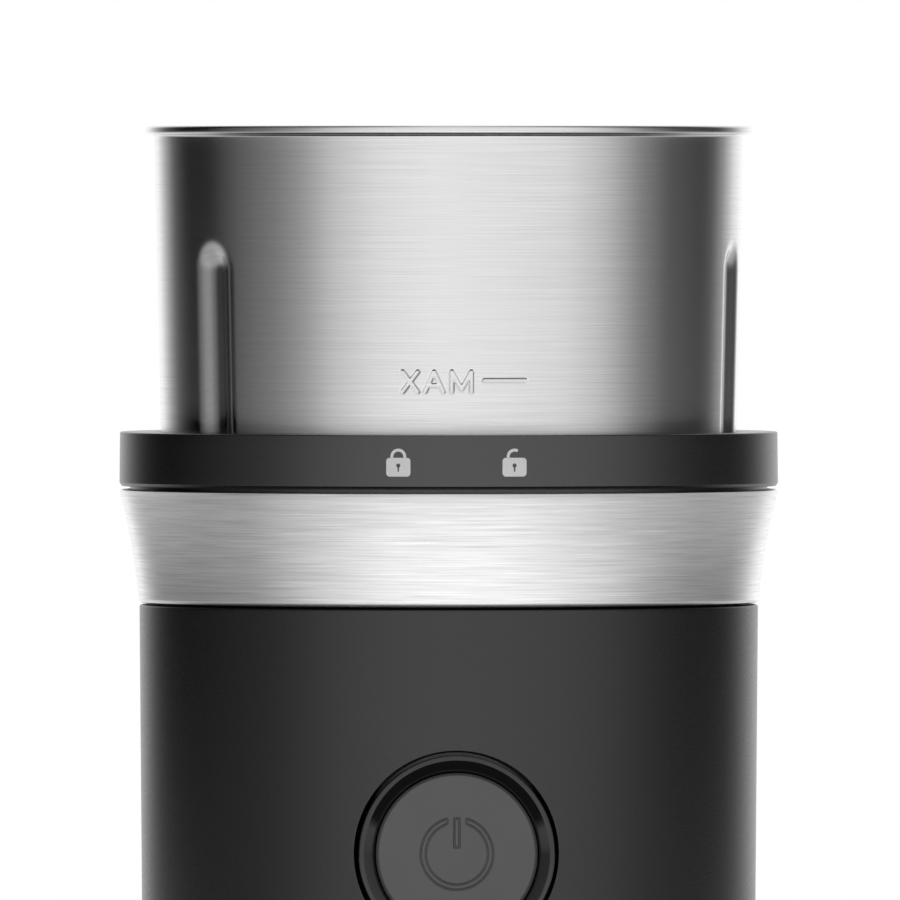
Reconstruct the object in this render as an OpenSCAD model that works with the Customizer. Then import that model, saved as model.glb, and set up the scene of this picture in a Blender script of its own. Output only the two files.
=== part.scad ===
// Electric coffee and spice grinder, standing with its lid off.
// A steel grinding cup keys into a carrier ring and twists to lock on a motor base.
// +Z is up, the button faces -Y, and the origin is on the floor under the cup's axis.

/* [Base] */
// Widest diameter, at the foot of the black collar ring
ring_d = 98; // [97:0.5:102]
// Height of the collar's top face above the floor
base_h = 128; // [126:1:140]
// Height of the black collar ring
ring_h = 8.05; // [7.5:0.05:8.6]
// Height of the flared steel band under the collar
band_h = 16.8; // [15:0.1:17.2]
// Diameter of the housing under the steel band
body_top_d = 92; // [91.6:0.1:92.4]
// Diameter of the housing at its foot
body_foot_d = 90.2; // [89.6:0.1:91.2]
// Thickness of the housing's wall
shell_wall = 2.4; // [2:0.1:2.6]
// Height of the rubber feet
foot_h = 3; // [2:0.5:4]

/* [Cup] */
// Height of the cup's rim above the collar
cup_above = 45.5; // [42:0.5:60]
// Depth of the cup below the collar
cup_below = 15; // [14.5:0.1:15.5]
// Outside diameter of the cup just under its rim
cup_mouth_d = 87.7; // [87:0.1:88.4]
// Outside diameter of the cup where it enters the collar
cup_waist_d = 85.6; // [85.2:0.1:85.8]
// Thickness of the cup's steel
cup_wall = 0.8; // [0.6:0.1:0.9]
// Height of the channels' rounded tops above the collar
channel_top = 29; // [20:1:34]
// Radius of the rod shape that presses each channel
channel_r = 7.1; // [6.4:0.1:7.4]
// Depth of the channels at the collar
channel_depth = 1.3; // [1.1:0.1:1.7]

/* [Button] */
// Height of the button's centre above the floor
button_z = 66.4; // [62:0.2:72]
// Radius of the push button's cap
cap_r = 11.9; // [10:0.1:12]

/* [Locking] */
// Turn of the cup from unlocked to locked, in degrees
lock_turn = 20.4; // [18:0.2:21]
// Travel of the interlock pin when the cup is locked
pin_travel = 1.2; // [0.8:0.1:1.3]

/* [Hidden] */
$fn = 96;

// Directions around the Z axis
front = -90;
back = 90;
channel_angles = [front - 55, front + 75, back + 10];
mark_angle = lock_turn / 2;
three_ways = [30, 150, 270];
screw_ways = [60, 180, 300];
cover_ways = [45, 135, 225, 315];

// Levels of the base
ring_top = base_h;
ring_foot = ring_top - ring_h;
band_top = ring_foot - 0.5;
band_foot = band_top - band_h;
body_top = band_foot - 0.3;
shell_foot = foot_h + 2.4;
cover_top = foot_h + 2.2;

// Radii of the base
ring_r = ring_d / 2;
body_r = body_top_d / 2;
foot_r = body_foot_d / 2;
neck_r = 44.9;
well_r = 43.5;
inner_r = body_r - shell_wall - 0.4;
band_sheet = 0.8;
band_curve_r = 98;

// Levels and radii of the well and its deck
deck_top = ring_top - 19;
deck_foot = deck_top - 3;
pan_top = deck_top - 10;
pan_foot = pan_top - 2;
deck_hole_r = 33;
notch_r = 36.4;
rib_inner_r = 36.8;
rib_outer_r = 38;
screw_r = 40.8;
collar_bore_r = 9.5;
skirt_r = 38.5;
ledge_r = 38.8;
pin_hole_r = 1.58;

// Levels and radii of the cup
cup_foot = ring_top - cup_below;
cup_rim = ring_top + cup_above;
mouth_r = cup_mouth_d / 2;
waist_r = cup_waist_d / 2;
wall_slope = (mouth_r - waist_r) / cup_above;
cup_corner = 6;
heel_r = waist_r - wall_slope * (cup_below - cup_corner);
rim_bend = 1.3;
rim_z = cup_rim - rim_bend - cup_wall;
channel_axis_r = waist_r - channel_depth + channel_r;
shaft_r = 3;
running_gap = 0.04;

// Levels of the lock ring
lock_foot = deck_top + 0.2;
lock_top = lock_foot + 2.6;
key_top = ring_top - 7;
pin_tip = lock_foot + pin_travel - 0.2;

// Levels of the motor, from its lower bearing up
lower_frame_z = deck_top - 85;
stator_z = deck_top - 61;
stator_h = 22;
coil_rise = 7;
fan_z = deck_top - 30.5;
frame_z = deck_top - 22;
frame_t = 3;
coupling_z = deck_top - 15.5;
coupling_joint = deck_top - 11.3;
armature_r = 13.9;
stator_bore_r = 14.3;
commutator_z = deck_top - 79;
brush_z = commutator_z + 6;

// Depths of the button's pieces, measured from the Z axis towards the front
cap_face = foot_r + (body_r - foot_r) * 0.65 + 0.1;
bezel_face = cap_face + 0.6;
cap_foot = cap_face - 5.6;
guide_face = cap_face - 7.7;
switch_face = guide_face - 4.4;

// The circuit board and the pieces near the cord's entry
board_y = 30;
board_t = 1.6;
board_z = 22;
board_h = 34;
inlet_z = 16;

// Radius of a cone-shaped wall at height z
function wall_r(z) = waist_r + wall_slope * (z - ring_top);

// Tube between two heights
module tube(outer, inner, low, high) {
    translate([0, 0, low])
        difference() {
            cylinder(r = outer, h = high - low);
            translate([0, 0, -1]) cylinder(r = inner, h = high - low + 2);
        }
}

// Cylinder between two heights
module post(r, low, high) {
    translate([0, 0, low]) cylinder(r = r, h = high - low);
}

// Box given by its low and high corners
module block(low, high) {
    translate(low) cube(high - low);
}

// Copies at equal distance from the axis
module around(angles, radius) {
    for (a = angles)
        rotate(a) translate([radius, 0, 0]) children();
}

// Turns a shape so that its own +Z points out of the front at the button's height
module facing_front() {
    translate([0, 0, button_z]) rotate([90, 0, 0]) children();
}

// Ring-shaped sector between two radii, centred on the X axis
module sector(inner, outer, width, low, high) {
    translate([0, 0, low])
        linear_extrude(high - low)
            intersection() {
                difference() {
                    circle(outer);
                    circle(inner);
                }
                polygon([
                    [0, 0],
                    [2 * outer * cos(width / 2), -2 * outer * sin(width / 2)],
                    [2 * outer * cos(width / 2), 2 * outer * sin(width / 2)]
                ]);
            }
}

// Round rod between two points
module rod(a, b, r) {
    run = b - a;
    translate(a)
        rotate([0, acos(run.z / norm(run)), atan2(run.y, run.x)])
            cylinder(r = r, h = norm(run), $fn = 48);
}

// Insulated wire through a list of points, with slightly thicker round corners
module wire(points, r = 0.8) {
    for (i = [0:len(points) - 2])
        rod(points[i], points[i + 1], r);
    for (i = [1:len(points) - 2])
        translate(points[i]) sphere(r + 0.06, $fn = 48);
}

// Pan-head screw pointing up, with its head below the origin
module screw_up(length, head_r = 2.8, thread_r = 1.5) {
    difference() {
        translate([0, 0, -2]) cylinder(r = head_r, h = 2);
        translate([0, 0, -2.6]) block([-0.4, -2, 0], [0.4, 2, 1.6]);
        translate([0, 0, -2.6]) block([-2, -0.4, 0], [2, 0.4, 1.6]);
    }
    cylinder(r = thread_r, h = length);
}

// Housing: tapered tube with a neck, a ledge for the deck and bosses for the bottom cover
module body_shell() {
    color("#2b2b2b")
        difference() {
            union() {
                difference() {
                    rotate_extrude()
                        polygon([
                            [inner_r, shell_foot], [foot_r, shell_foot], [body_r, body_top],
                            [neck_r, body_top], [neck_r, ring_top - 2.6], [well_r, ring_top - 2.6],
                            [well_r, deck_foot], [ledge_r, deck_foot], [ledge_r, deck_foot - 2],
                            [inner_r, deck_foot - 6]
                        ]);
                    facing_front() cylinder(r = 16, h = 60);
                }
                intersection() {
                    facing_front() post(16.8, guide_face + 0.1, 50);
                    rotate_extrude()
                        polygon([[0, shell_foot], [foot_r, shell_foot], [body_r, body_top], [0, body_top]]);
                }
                around(screw_ways, screw_r) intersection() {
                    post(3.4, deck_foot - 12, deck_foot - 1);
                    block([-1.4, -4, deck_foot - 12], [inner_r - screw_r + 0.2, 4, deck_foot]);
                }
                around(cover_ways, 38.4) {
                    post(3.4, shell_foot + 1.2, shell_foot + 12);
                    block([2, -1.2, shell_foot + 4.2], [5, 1.2, shell_foot + 12]);
                }
                for (side = [-1, 1])
                    block(
                        [side * 17.5 - 1.8, board_y - 2, board_z],
                        [side * 17.5 + 1.8, sqrt(inner_r * inner_r - 17.5 * 17.5) + 1.2, board_z + board_h]
                    );
            }
            facing_front() post(14.3, 30, 60);
            facing_front() post(14.9, cap_face - 2, 60);
            around(screw_ways, screw_r) post(1.2, deck_foot - 10, deck_foot + 1);
            around(cover_ways, 38.4) post(1.2, shell_foot, shell_foot + 10);
            around([back], screw_r) post(pin_hole_r, deck_foot - 8, deck_foot + 1);
            block(
                [-17.2, board_y - 0.1, board_z + 1],
                [17.2, board_y + board_t + 0.1, board_z + board_h + 1]
            );
            translate([0, 35, inlet_z]) rotate([-90, 0, 0]) cylinder(r = 5.5, h = 20);
        }
}

// Black collar: a flat top around the well, an outer skirt and a lip that tucks behind the steel band
module top_ring() {
    color("#333333")
        difference() {
            rotate_extrude()
                polygon([
                    [well_r, ring_top - 2.5], [well_r, ring_top], [ring_r - 0.55, ring_top],
                    [ring_r - 0.15, ring_top - 0.4], [ring_r, ring_foot + 0.3], [ring_r - 0.3, ring_foot],
                    [47.4, ring_foot], [47.4, ring_foot - 2.2], [46, ring_foot - 2.2], [46, ring_top - 2.5]
                ]);
            mark_cut(-mark_angle) closed_padlock();
            mark_cut(mark_angle) open_padlock();
        }
}

// Projects a flat mark on to the collar's skirt, cut 0.3 mm deep
module mark_cut(angle) {
    rotate(angle)
        translate([0, -ring_r + 0.35, ring_foot + ring_h / 2])
            rotate([90, 0, 0])
                linear_extrude(2) children();
}

// The same mark as a thin inlay, flush with the collar's skirt
module mark_inlay(angle) {
    intersection() {
        mark_cut(angle) children();
        rotate_extrude($fn = 720)
            polygon([
                [ring_r - 2, ring_foot], [ring_r, ring_foot + 0.3],
                [ring_r - 0.15, ring_top - 0.4], [ring_r - 2, ring_top]
            ]);
    }
}

// Padlock's body with its keyhole, 3.6 mm wide
module padlock_body() {
    difference() {
        translate([-1.75, -2.1]) square([3.5, 2.75]);
        translate([0, -0.4]) circle(0.36);
        translate([-0.14, -1.3]) square([0.28, 0.8]);
    }
}

// Padlock's round shackle, with a right leg of the given length and a short left leg
module shackle(leg) {
    translate([0, 0.65]) {
        difference() {
            circle(1.35);
            circle(0.95);
            translate([-2, -4]) square([4, 4.05]);
        }
        translate([-1.33, -0.3]) square([0.36, 0.5]);
        translate([0.97, -leg]) square([0.36, leg + 0.2]);
    }
}

// Closed padlock sign
module closed_padlock() {
    padlock_body();
    shackle(0.3);
}

// Open padlock sign, with its shackle raised and one leg free
module open_padlock() {
    padlock_body();
    translate([0, 0.35]) shackle(-0.02);
    translate([-1.32, 0.5]) square([0.34, 0.6]);
}

module lock_mark() {
    color("#c4c4c4") mark_inlay(-mark_angle) closed_padlock();
}

module unlock_mark() {
    color("#c4c4c4") mark_inlay(mark_angle) open_padlock();
}

// Flared band of brushed sheet: a hollow arc between the collar and the housing
module steel_band() {
    drop = ring_r - body_r - 0.05;
    chord = sqrt(drop * drop + band_h * band_h);
    reach = sqrt(band_curve_r * band_curve_r - chord * chord / 4);
    centre_x = ring_r - drop / 2 + reach * band_h / chord;
    centre_z = band_foot + band_h / 2 - reach * drop / chord;
    color("#c8c8c8")
        rotate_extrude($fn = 180)
            intersection() {
                difference() {
                    translate([centre_x, centre_z]) circle(band_curve_r + band_sheet, $fn = 720);
                    translate([centre_x, centre_z]) circle(band_curve_r, $fn = 720);
                }
                translate([40, band_foot]) square([20, band_h]);
            }
}

// Floor of the well: a deck with bayonet notches, a pan below it and a collar around the drive
module well_deck() {
    color("#242424")
        difference() {
            union() {
                tube(well_r - 0.1, deck_hole_r, deck_foot, deck_top);
                tube(rib_outer_r, rib_inner_r, deck_top, deck_top + 1.5);
                tube(skirt_r, 37, pan_foot, deck_foot);
                tube(skirt_r, collar_bore_r, pan_foot, pan_top);
                tube(11, collar_bore_r, pan_top, deck_top - 3.6);
                around(three_ways, 30) post(3.5, pan_top, pan_top + 2.5);
            }
            around(channel_angles, 0) sector(30, notch_r, 16, deck_foot - 1, deck_top + 1);
            around(three_ways, 30) post(1.5, pan_foot - 1, pan_top + 2);
            around(screw_ways, screw_r) {
                post(1.5, deck_foot - 1, deck_top + 1);
                translate([0, 0, deck_top - 1.6]) cylinder(r1 = 1.5, r2 = 2.3, h = 1.65);
            }
            around([back], screw_r) post(pin_hole_r, deck_foot - 1, deck_top + 1);
        }
}

// Countersunk screws that hold the deck to the housing
module deck_screws() {
    color("#8a8a8a")
        around(screw_ways, screw_r) difference() {
            union() {
                post(1.2, deck_foot - 9.5, deck_top - 1);
                translate([0, 0, deck_top - 1.65]) cylinder(r1 = 1.2, r2 = 2.2, h = 1.6);
            }
            block([-0.3, -1.2, deck_top - 0.9], [0.3, 1.2, deck_top + 1]);
            block([-1.2, -0.3, deck_top - 0.9], [1.2, 0.3, deck_top + 1]);
        }
}

// Bottom cover with a locating lip, radial air slots and screw holes
module bottom_cover() {
    color("#242424")
        difference() {
            union() {
                post(foot_r - 0.2, foot_h, cover_top);
                tube(inner_r - 0.2, inner_r - 1.8, cover_top, cover_top + 3);
            }
            for (a = [0:15:345])
                rotate(a + 7.5) block([14, -1.2, foot_h - 1], [27, 1.2, cover_top + 1]);
            around(cover_ways, 38.4) {
                post(1.7, foot_h - 1, cover_top + 4);
                post(3.2, foot_h - 1, foot_h + 0.8);
                post(3.8, cover_top, cover_top + 4);
            }
            around([0, 90, 180, 270], 34) post(2, foot_h - 1, cover_top + 1);
        }
}

module cover_screws() {
    color("#6f6f6f")
        around(cover_ways, 38.4)
            translate([0, 0, foot_h + 0.8]) {
                post(1.2, 0, 9.5);
                difference() {
                    post(2.8, -0.7, 0);
                    block([-2, -0.35, -1], [2, 0.35, -0.3]);
                }
            }
}

// Round rubber feet with a stem pushed through the cover
module rubber_feet() {
    color("#1b1b1b")
        around([0, 90, 180, 270], 34) {
            cylinder(r1 = 5.4, r2 = 6.2, h = foot_h);
            post(2, foot_h, cover_top);
            post(2.7, cover_top, cover_top + 1.2);
        }
}

// Gland that lines the cord's hole in the back of the housing
module cord_inlet() {
    color("#202020")
        translate([0, 0, inlet_z])
            rotate([-90, 0, 0])
                difference() {
                    union() {
                        post(5.4, foot_r - 4.6, foot_r + 0.2);
                        post(7, foot_r + 0.1, foot_r + 1.8);
                        post(6.6, foot_r - 5.6, foot_r - 4);
                    }
                    post(3.6, foot_r - 7, foot_r + 3);
                }
}

// Half section of the cup filled to the axis, drawn in by the given distance
module cup_section(inset) {
    translate([heel_r - cup_corner, cup_foot + cup_corner]) circle(cup_corner - inset, $fn = 96);
    polygon([
        [0, cup_foot + inset], [heel_r - cup_corner, cup_foot + inset],
        [heel_r - cup_corner, cup_foot + cup_corner], [heel_r - inset, cup_foot + cup_corner],
        [mouth_r - wall_slope * (cup_rim - rim_z) - inset, rim_z], [0, rim_z]
    ]);
}

// Upright rods that press the channels, thickened by the given distance
module channel_rods(extra) {
    r = channel_r + extra;
    bite = channel_axis_r - wall_r(ring_top + channel_top);
    rod_top = ring_top + channel_top - sqrt(channel_r * channel_r - bite * bite);
    around(channel_angles, channel_axis_r) {
        post(r, cup_foot - 2, rod_top);
        translate([0, 0, rod_top]) sphere(r, $fn = 96);
    }
}

// Solid of the cup's outside, or of its inside when inset by the sheet
module cup_volume(inset) {
    difference() {
        rotate_extrude($fn = 180) cup_section(inset);
        channel_rods(inset);
    }
}

// Section of the rim: the sheet bent outwards, with a rounded edge
module rim_section() {
    bend_x = mouth_r - wall_slope * (cup_rim - rim_z) + rim_bend;
    tip = 94;
    mid = rim_bend + cup_wall / 2;
    translate([bend_x, rim_z]) {
        intersection() {
            difference() {
                circle(rim_bend + cup_wall, $fn = 96);
                circle(rim_bend, $fn = 96);
            }
            polygon([[0, 0], [-6, 0], [-6, 6], [6 * cos(tip), 6 * sin(tip)]]);
        }
        translate([mid * cos(tip), mid * sin(tip)]) circle(cup_wall / 2, $fn = 48);
    }
}

// Flat stroke of a letter or mark
module stroke(a, b, width = 0.62) {
    run = b - a;
    translate(a)
        rotate(atan2(run.y, run.x))
            translate([-width / 4, -width / 2]) square([norm(run) + width / 2, width]);
}

// Fill mark as seen from outside: the word is mirrored because it is read from inside the cup
module fill_mark() {
    h = 3.6;
    translate([-7.8, 0]) {
        stroke([0, 0], [2.5, h]);
        stroke([0, h], [2.5, 0]);
    }
    translate([-4.1, 0]) {
        stroke([0, 0], [1.5, h]);
        stroke([3, 0], [1.5, h]);
        stroke([0.6, h * 0.3], [2.4, h * 0.3]);
    }
    translate([0.1, 0]) {
        stroke([0, 0], [0, h]);
        stroke([3, 0], [3, h]);
        stroke([0, h], [1.5, h * 0.35]);
        stroke([3, h], [1.5, h * 0.35]);
    }
    stroke([4.9, h * 0.5], [11, h * 0.5]);
}

// Drawn steel cup with its flared rim, three channels, fill mark and holes in the floor
module cup_shell() {
    mark_z = ring_top + 5.8;
    color("#b9bbbd")
        difference() {
            union() {
                difference() {
                    cup_volume(0);
                    cup_volume(cup_wall);
                }
                rotate_extrude($fn = 180) rim_section();
            }
            intersection() {
                translate([0, 0, mark_z])
                    rotate([90, 0, 0])
                        linear_extrude(60) fill_mark();
                tube(60, wall_r(mark_z) - 0.3, mark_z - 2, mark_z + 6);
            }
            post(6, cup_foot - 1, cup_foot + 3);
            around(three_ways, 20) post(1.7, cup_foot - 1, cup_foot + 3);
        }
}

// Plastic foot of the cup, with three bayonet lugs and a boss for the bush
module cup_base() {
    color("#262626")
        difference() {
            union() {
                tube(36.4, 6, deck_top + 0.15, cup_foot);
                tube(32.6, 30, deck_top - 6.6, deck_top + 0.15);
                around(channel_angles, 0) sector(31, 36, 12, deck_top - 6, deck_top - 3.3);
                tube(9, 6, deck_top - 3, deck_top + 0.2);
            }
            around(three_ways, 20) {
                post(1.5, deck_top - 1, cup_foot + 1);
                post(3, deck_top - 1, deck_top + 1.8);
            }
        }
}

module cup_screws() {
    color("#9a9a9a")
        around(three_ways, 20)
            translate([0, 0, deck_top + 1.8]) {
                post(1.4, 0, cup_foot + cup_wall - deck_top - 1.8);
                post(2.8, -1.4, 0);
            }
    color("#9a9a9a")
        around(three_ways, 20) post(2.6, cup_foot + cup_wall, cup_foot + cup_wall + 1.2);
}

// Sintered bush for the blade's shaft
module shaft_bush() {
    color("#a8835a") {
        tube(6, shaft_r + running_gap, deck_top - 2, deck_top + 9);
        tube(8, 6, cup_foot + cup_wall, cup_foot + cup_wall + 1.4);
    }
}

// Rubber lip seal on top of the bush
module shaft_seal() {
    color("#222222") tube(6, shaft_r + 0.06, deck_top + 9, deck_top + 11.4);
}

// Two-winged blade: flat arms with one tip turned up and the other turned down
module grinding_blade() {
    blade_z = deck_top + 12.4;
    color("#c9cacb")
        difference() {
            union() {
                translate([0, 0, blade_z]) cylinder(r = 7.5, h = 1.5);
                for (side = [0, 180])
                    rotate(side) {
                        translate([0, 0, blade_z])
                            linear_extrude(1.5)
                                polygon([[0, -6], [23, -6], [23, 3], [0, 6]]);
                        translate([22.6, 0, blade_z])
                            rotate([0, side == 0 ? -28 : 6, 0])
                                linear_extrude(1.5)
                                    polygon([[0, -6], [9, -4.4], [11, -1], [9.6, 1.4], [0, 3]]);
                    }
            }
            post(shaft_r, blade_z - 1, blade_z + 4);
        }
}

// Shaft of the blade, stepped to seat the blade
module blade_shaft() {
    color("#9fa1a3") {
        post(shaft_r, coupling_joint + 4.4, deck_top + 17);
        tube(4.6, shaft_r, deck_top + 11.5, deck_top + 12.4);
    }
}

// Dome nut that clamps the blade
module blade_nut() {
    nut_z = deck_top + 13.9;
    color("#b7b8ba")
        difference() {
            union() {
                translate([0, 0, nut_z]) cylinder(r = 5.2, h = 3.2, $fn = 6);
                intersection() {
                    translate([0, 0, nut_z + 1.2]) sphere(4.6);
                    post(6, nut_z + 3, nut_z + 8);
                }
            }
            post(shaft_r, nut_z - 1, deck_top + 17);
        }
}

// Spring clip that keeps the shaft in its bush
module shaft_clip() {
    color("#777777")
        difference() {
            tube(5, shaft_r, deck_top - 3.9, deck_top - 3.2);
            block([0, -1.6, deck_top - 5], [7, 1.6, deck_top - 2]);
        }
}

// Two driving dogs around the axis, from a lower to a higher level
module dogs(low, high) {
    around([0, 180], 0) sector(3.6, 8.2, 34, low, high);
}

// Coupling on the foot of the blade's shaft, with its dogs pointing down
module cup_coupling() {
    color("#4a4a4a") {
        tube(8.2, shaft_r, coupling_joint + 4.4, coupling_joint + 7);
        rotate(90) dogs(coupling_joint + 0.4, coupling_joint + 4.4);
    }
}

// Coupling on the motor's shaft, with its dogs pointing up
module drive_coupling() {
    color("#4a4a4a") {
        tube(8.6, shaft_r, coupling_z, coupling_joint);
        dogs(coupling_joint, coupling_joint + 4);
    }
}

// Carrier ring in the well: its keys stand in the cup's channels, and its foot has a ramp for the pin
module lock_ring() {
    ramp_run = screw_r * lock_turn * PI / 180;
    ramp_half = 9.1;
    ramp_mid = pin_travel / 2 + 0.1;
    color("#3a3a3a")
        difference() {
            union() {
                tube(43.2, 38.1, lock_foot, lock_top);
                intersection() {
                    around(channel_angles, channel_axis_r) post(channel_r - 0.3, lock_foot, key_top);
                    tube(43.2, 38.1, lock_foot, key_top);
                }
            }
            rotate(back + lock_turn / 2)
                translate([screw_r - 2.35, 0, lock_foot])
                    rotate([90, 0, 90])
                        linear_extrude(4.35)
                            polygon([
                                [-ramp_half, -1], [ramp_half, -1],
                                [ramp_half, ramp_mid - pin_travel * ramp_half / ramp_run],
                                [-ramp_half, ramp_mid + pin_travel * ramp_half / ramp_run]
                            ]);
        }
}

// Pin that rides on the carrier's ramp and presses the interlock switch
module interlock_pin() {
    color("#b5b5a8")
        around([back], screw_r) {
            post(1.5, deck_top - 15, pin_tip - 0.6);
            translate([0, 0, pin_tip - 0.6]) cylinder(r1 = 1.5, r2 = 0.9, h = 0.6);
            block([-5, -2, deck_top - 16], [1.3, 2, deck_top - 13.6]);
        }
}

// Small plunger of the interlock switch
module interlock_plunger() {
    color("#d8d8d0") block([-1.2, 36.6, deck_top - 20], [1.2, 38.2, deck_top - 16]);
}

// Body of a small snap switch, with a pocket for its plunger and two rivet holes
module snap_switch(height) {
    difference() {
        block([-10, -3, 0], [10, 3, height]);
        block([-1.5, -1.1, height - 4], [1.5, 1.1, height + 1]);
        for (side = [-1, 1])
            translate([side * 7.4, 0, height - 5]) rotate([90, 0, 0]) post(1.3, -4, 4);
    }
}

// Switch that stops the motor unless the cup is locked
module interlock_switch() {
    color("#303030") translate([0, 37.4, deck_top - 27.6]) snap_switch(10);
}

// Upper frame of the motor: bearing boss, three arms on dampers and two legs on the stator
module motor_frame() {
    color("#9b9d9f")
        difference() {
            union() {
                translate([0, 0, frame_z])
                    linear_extrude(frame_t) {
                        circle(13);
                        for (a = three_ways)
                            rotate(a) {
                                translate([0, -6]) square([30, 12]);
                                translate([30, 0]) circle(6);
                            }
                        translate([-29, -5]) square([58, 10]);
                    }
                post(10, frame_z, frame_z + 6);
                for (side = [-1, 1])
                    translate([side * 26, 0, 0]) post(3, stator_z + stator_h, frame_z + 1);
            }
            post(8, frame_z + 2, frame_z + 7);
            post(4, frame_z - 1, frame_z + 7);
            around(three_ways, 30) post(3.4, frame_z - 1, frame_z + 4);
            for (side = [-1, 1])
                translate([side * 26, 0, 0]) post(1.6, stator_z, frame_z + 4);
        }
}

// Rubber grommets between the motor and the deck
module motor_dampers() {
    color("#1e1e1e")
        around(three_ways, 30) {
            tube(5, 1.7, frame_z + frame_t, pan_foot);
            tube(3.4, 1.7, frame_z, frame_z + frame_t);
            tube(5, 1.7, frame_z - 2, frame_z);
        }
}

module damper_screws() {
    color("#8a8a8a")
        around(three_ways, 30)
            translate([0, 0, frame_z - 2]) screw_up(pan_top - frame_z + 3.5, 3.4, 1.5);
}

// Lower bar of the motor, with a boss for the lower bearing and slots for the brush holders
module lower_frame() {
    color("#9b9d9f")
        difference() {
            union() {
                translate([0, 0, lower_frame_z])
                    linear_extrude(3) {
                        circle(12);
                        translate([-29, -6]) square([58, 12]);
                        translate([-6, -27]) square([12, 54]);
                    }
                post(8.6, lower_frame_z - 4, lower_frame_z + 3);
                for (side = [-1, 1])
                    translate([side * 26, 0, 0]) post(3, lower_frame_z, stator_z);
            }
            post(6.5, lower_frame_z - 2.5, lower_frame_z + 4);
            post(4, lower_frame_z - 5, lower_frame_z + 4);
            for (side = [-1, 1])
                translate([side * 26, 0, 0]) post(1.6, lower_frame_z - 1, stator_z + 1);
        }
}

// Two long bolts that clamp the frames on the stator
module frame_bolts() {
    color("#8a8a8a")
        for (side = [-1, 1])
            translate([side * 26, 0, lower_frame_z])
                screw_up(frame_z + frame_t - lower_frame_z, 3, 1.6);
}

// Stack of stator plates with two poles
module stator_core() {
    color("#6f7072")
        translate([0, 0, stator_z])
            linear_extrude(stator_h)
                difference() {
                    intersection() {
                        translate([-29, -25]) square([58, 50]);
                        circle(32);
                    }
                    circle(stator_bore_r);
                    translate([-5, -19.5]) square([10, 39]);
                    for (x = [-1, 1])
                        for (y = [-1, 1])
                            scale([x, y])
                                difference() {
                                    translate([4.5, 9.5]) square([18, 10]);
                                    circle(17);
                                }
                    for (side = [-1, 1])
                        translate([side * 26, 0]) circle(1.6);
                }
}

// Two field coils, each wound around one pole
module field_coils() {
    color("#a65a24")
        for (side = [-1, 1])
            difference() {
                block(
                    [side * 17.2 - 4, -18.8, stator_z - coil_rise],
                    [side * 17.2 + 4, 18.8, stator_z + stator_h + coil_rise]
                );
                block(
                    [side * 17.2 - 6, -11.8, stator_z - 0.4],
                    [side * 17.2 + 6, 11.8, stator_z + stator_h + 0.4]
                );
            }
}

// Boxes that hold the brushes, standing on the lower frame
module brush_holders() {
    color("#7a4a2a")
        for (side = [-1, 1])
            scale([1, side, 1])
                difference() {
                    union() {
                        block([-4.5, 12, brush_z - 4], [4.5, 27, brush_z + 4]);
                        block([-4.5, 15, lower_frame_z + 3], [4.5, 25, brush_z - 4]);
                    }
                    block([-3, 11, brush_z - 2.5], [3, 26, brush_z + 2.5]);
                }
}

// Carbon brushes, hollowed at the end to the commutator
module carbon_brushes() {
    color("#2a2a2c")
        for (side = [-1, 1])
            scale([1, side, 1])
                difference() {
                    block([-3, 8, brush_z - 2.5], [3, 24, brush_z + 2.5]);
                    post(10.08, brush_z - 4, brush_z + 4);
                }
}

// Ball bearing with grooved faces
module bearing(outer, low, high) {
    difference() {
        tube(outer, shaft_r + running_gap, low, high);
        for (z = [low - 0.6, high - 0.6])
            tube(outer - 1.3, shaft_r + 1.3, z, z + 1.2);
    }
}

module upper_bearing() {
    color("#b4b5b7") bearing(8, frame_z + 2, frame_z + 6);
}

module lower_bearing() {
    color("#b4b5b7") bearing(6.5, lower_frame_z - 2.5, lower_frame_z + 2.5);
}

module motor_shaft() {
    color("#9fa1a3") post(shaft_r, lower_frame_z - 2, coupling_joint);
}

// Armature plates with twelve winding slots
module armature_core() {
    color("#77787a")
        translate([0, 0, stator_z])
            linear_extrude(stator_h)
                difference() {
                    circle(armature_r);
                    circle(shaft_r);
                    for (a = [0:30:330])
                        rotate(a) translate([8, -1.2]) square([4.2, 2.4]);
                    for (a = [0:30:330])
                        rotate(a) translate([12, -0.6]) square([3, 1.2]);
                }
}

// Varnished end turns above and below the armature
module armature_windings() {
    color("#b06a2c")
        for (low = [stator_z + stator_h, stator_z - 4.6])
            translate([0, 0, low])
                rotate_extrude()
                    polygon([
                        [shaft_r, 0], [12.2, 0], [12.4, 1.6], [11.2, 3.8], [8.6, 4.6], [shaft_r, 4.6]
                    ]);
}

// Commutator with thin gaps between its copper bars
module commutator() {
    color("#c07a3c")
        difference() {
            tube(10, shaft_r, commutator_z, commutator_z + 12);
            for (a = [0:15:345])
                rotate(a) block([9.2, -0.25, commutator_z - 1], [11, 0.25, commutator_z + 13]);
        }
}

// Cooling fan with curved blades
module cooling_fan() {
    blade_turn = 30;
    color("#3b4a5c") {
        tube(6, shaft_r, fan_z, fan_z + 6.5);
        tube(21.5, 6, fan_z, fan_z + 1);
        for (a = [0:blade_turn:330])
            rotate(a) translate([7, 0, fan_z + 1]) rotate(18) translate([0, -0.5, 0]) cube([13.5, 1, 5]);
    }
}

// Gloss ring around the push button: a rounded outer edge and a slope down to the cap
module button_bezel() {
    color("#2e2e2e")
        facing_front()
            rotate_extrude()
                difference() {
                    union() {
                        translate([cap_r + 0.15, guide_face + 3])
                            square([14.2 - cap_r - 0.15, bezel_face - guide_face - 3.6]);
                        translate([13.55, bezel_face - 0.65]) circle(0.65, $fn = 48);
                        polygon([
                            [cap_r + 0.15, guide_face + 4], [13.8, guide_face + 4],
                            [13.7, bezel_face - 0.02], [cap_r + 0.15, bezel_face - 0.75]
                        ]);
                    }
                    square([cap_r + 0.15, 60]);
                }
}

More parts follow.
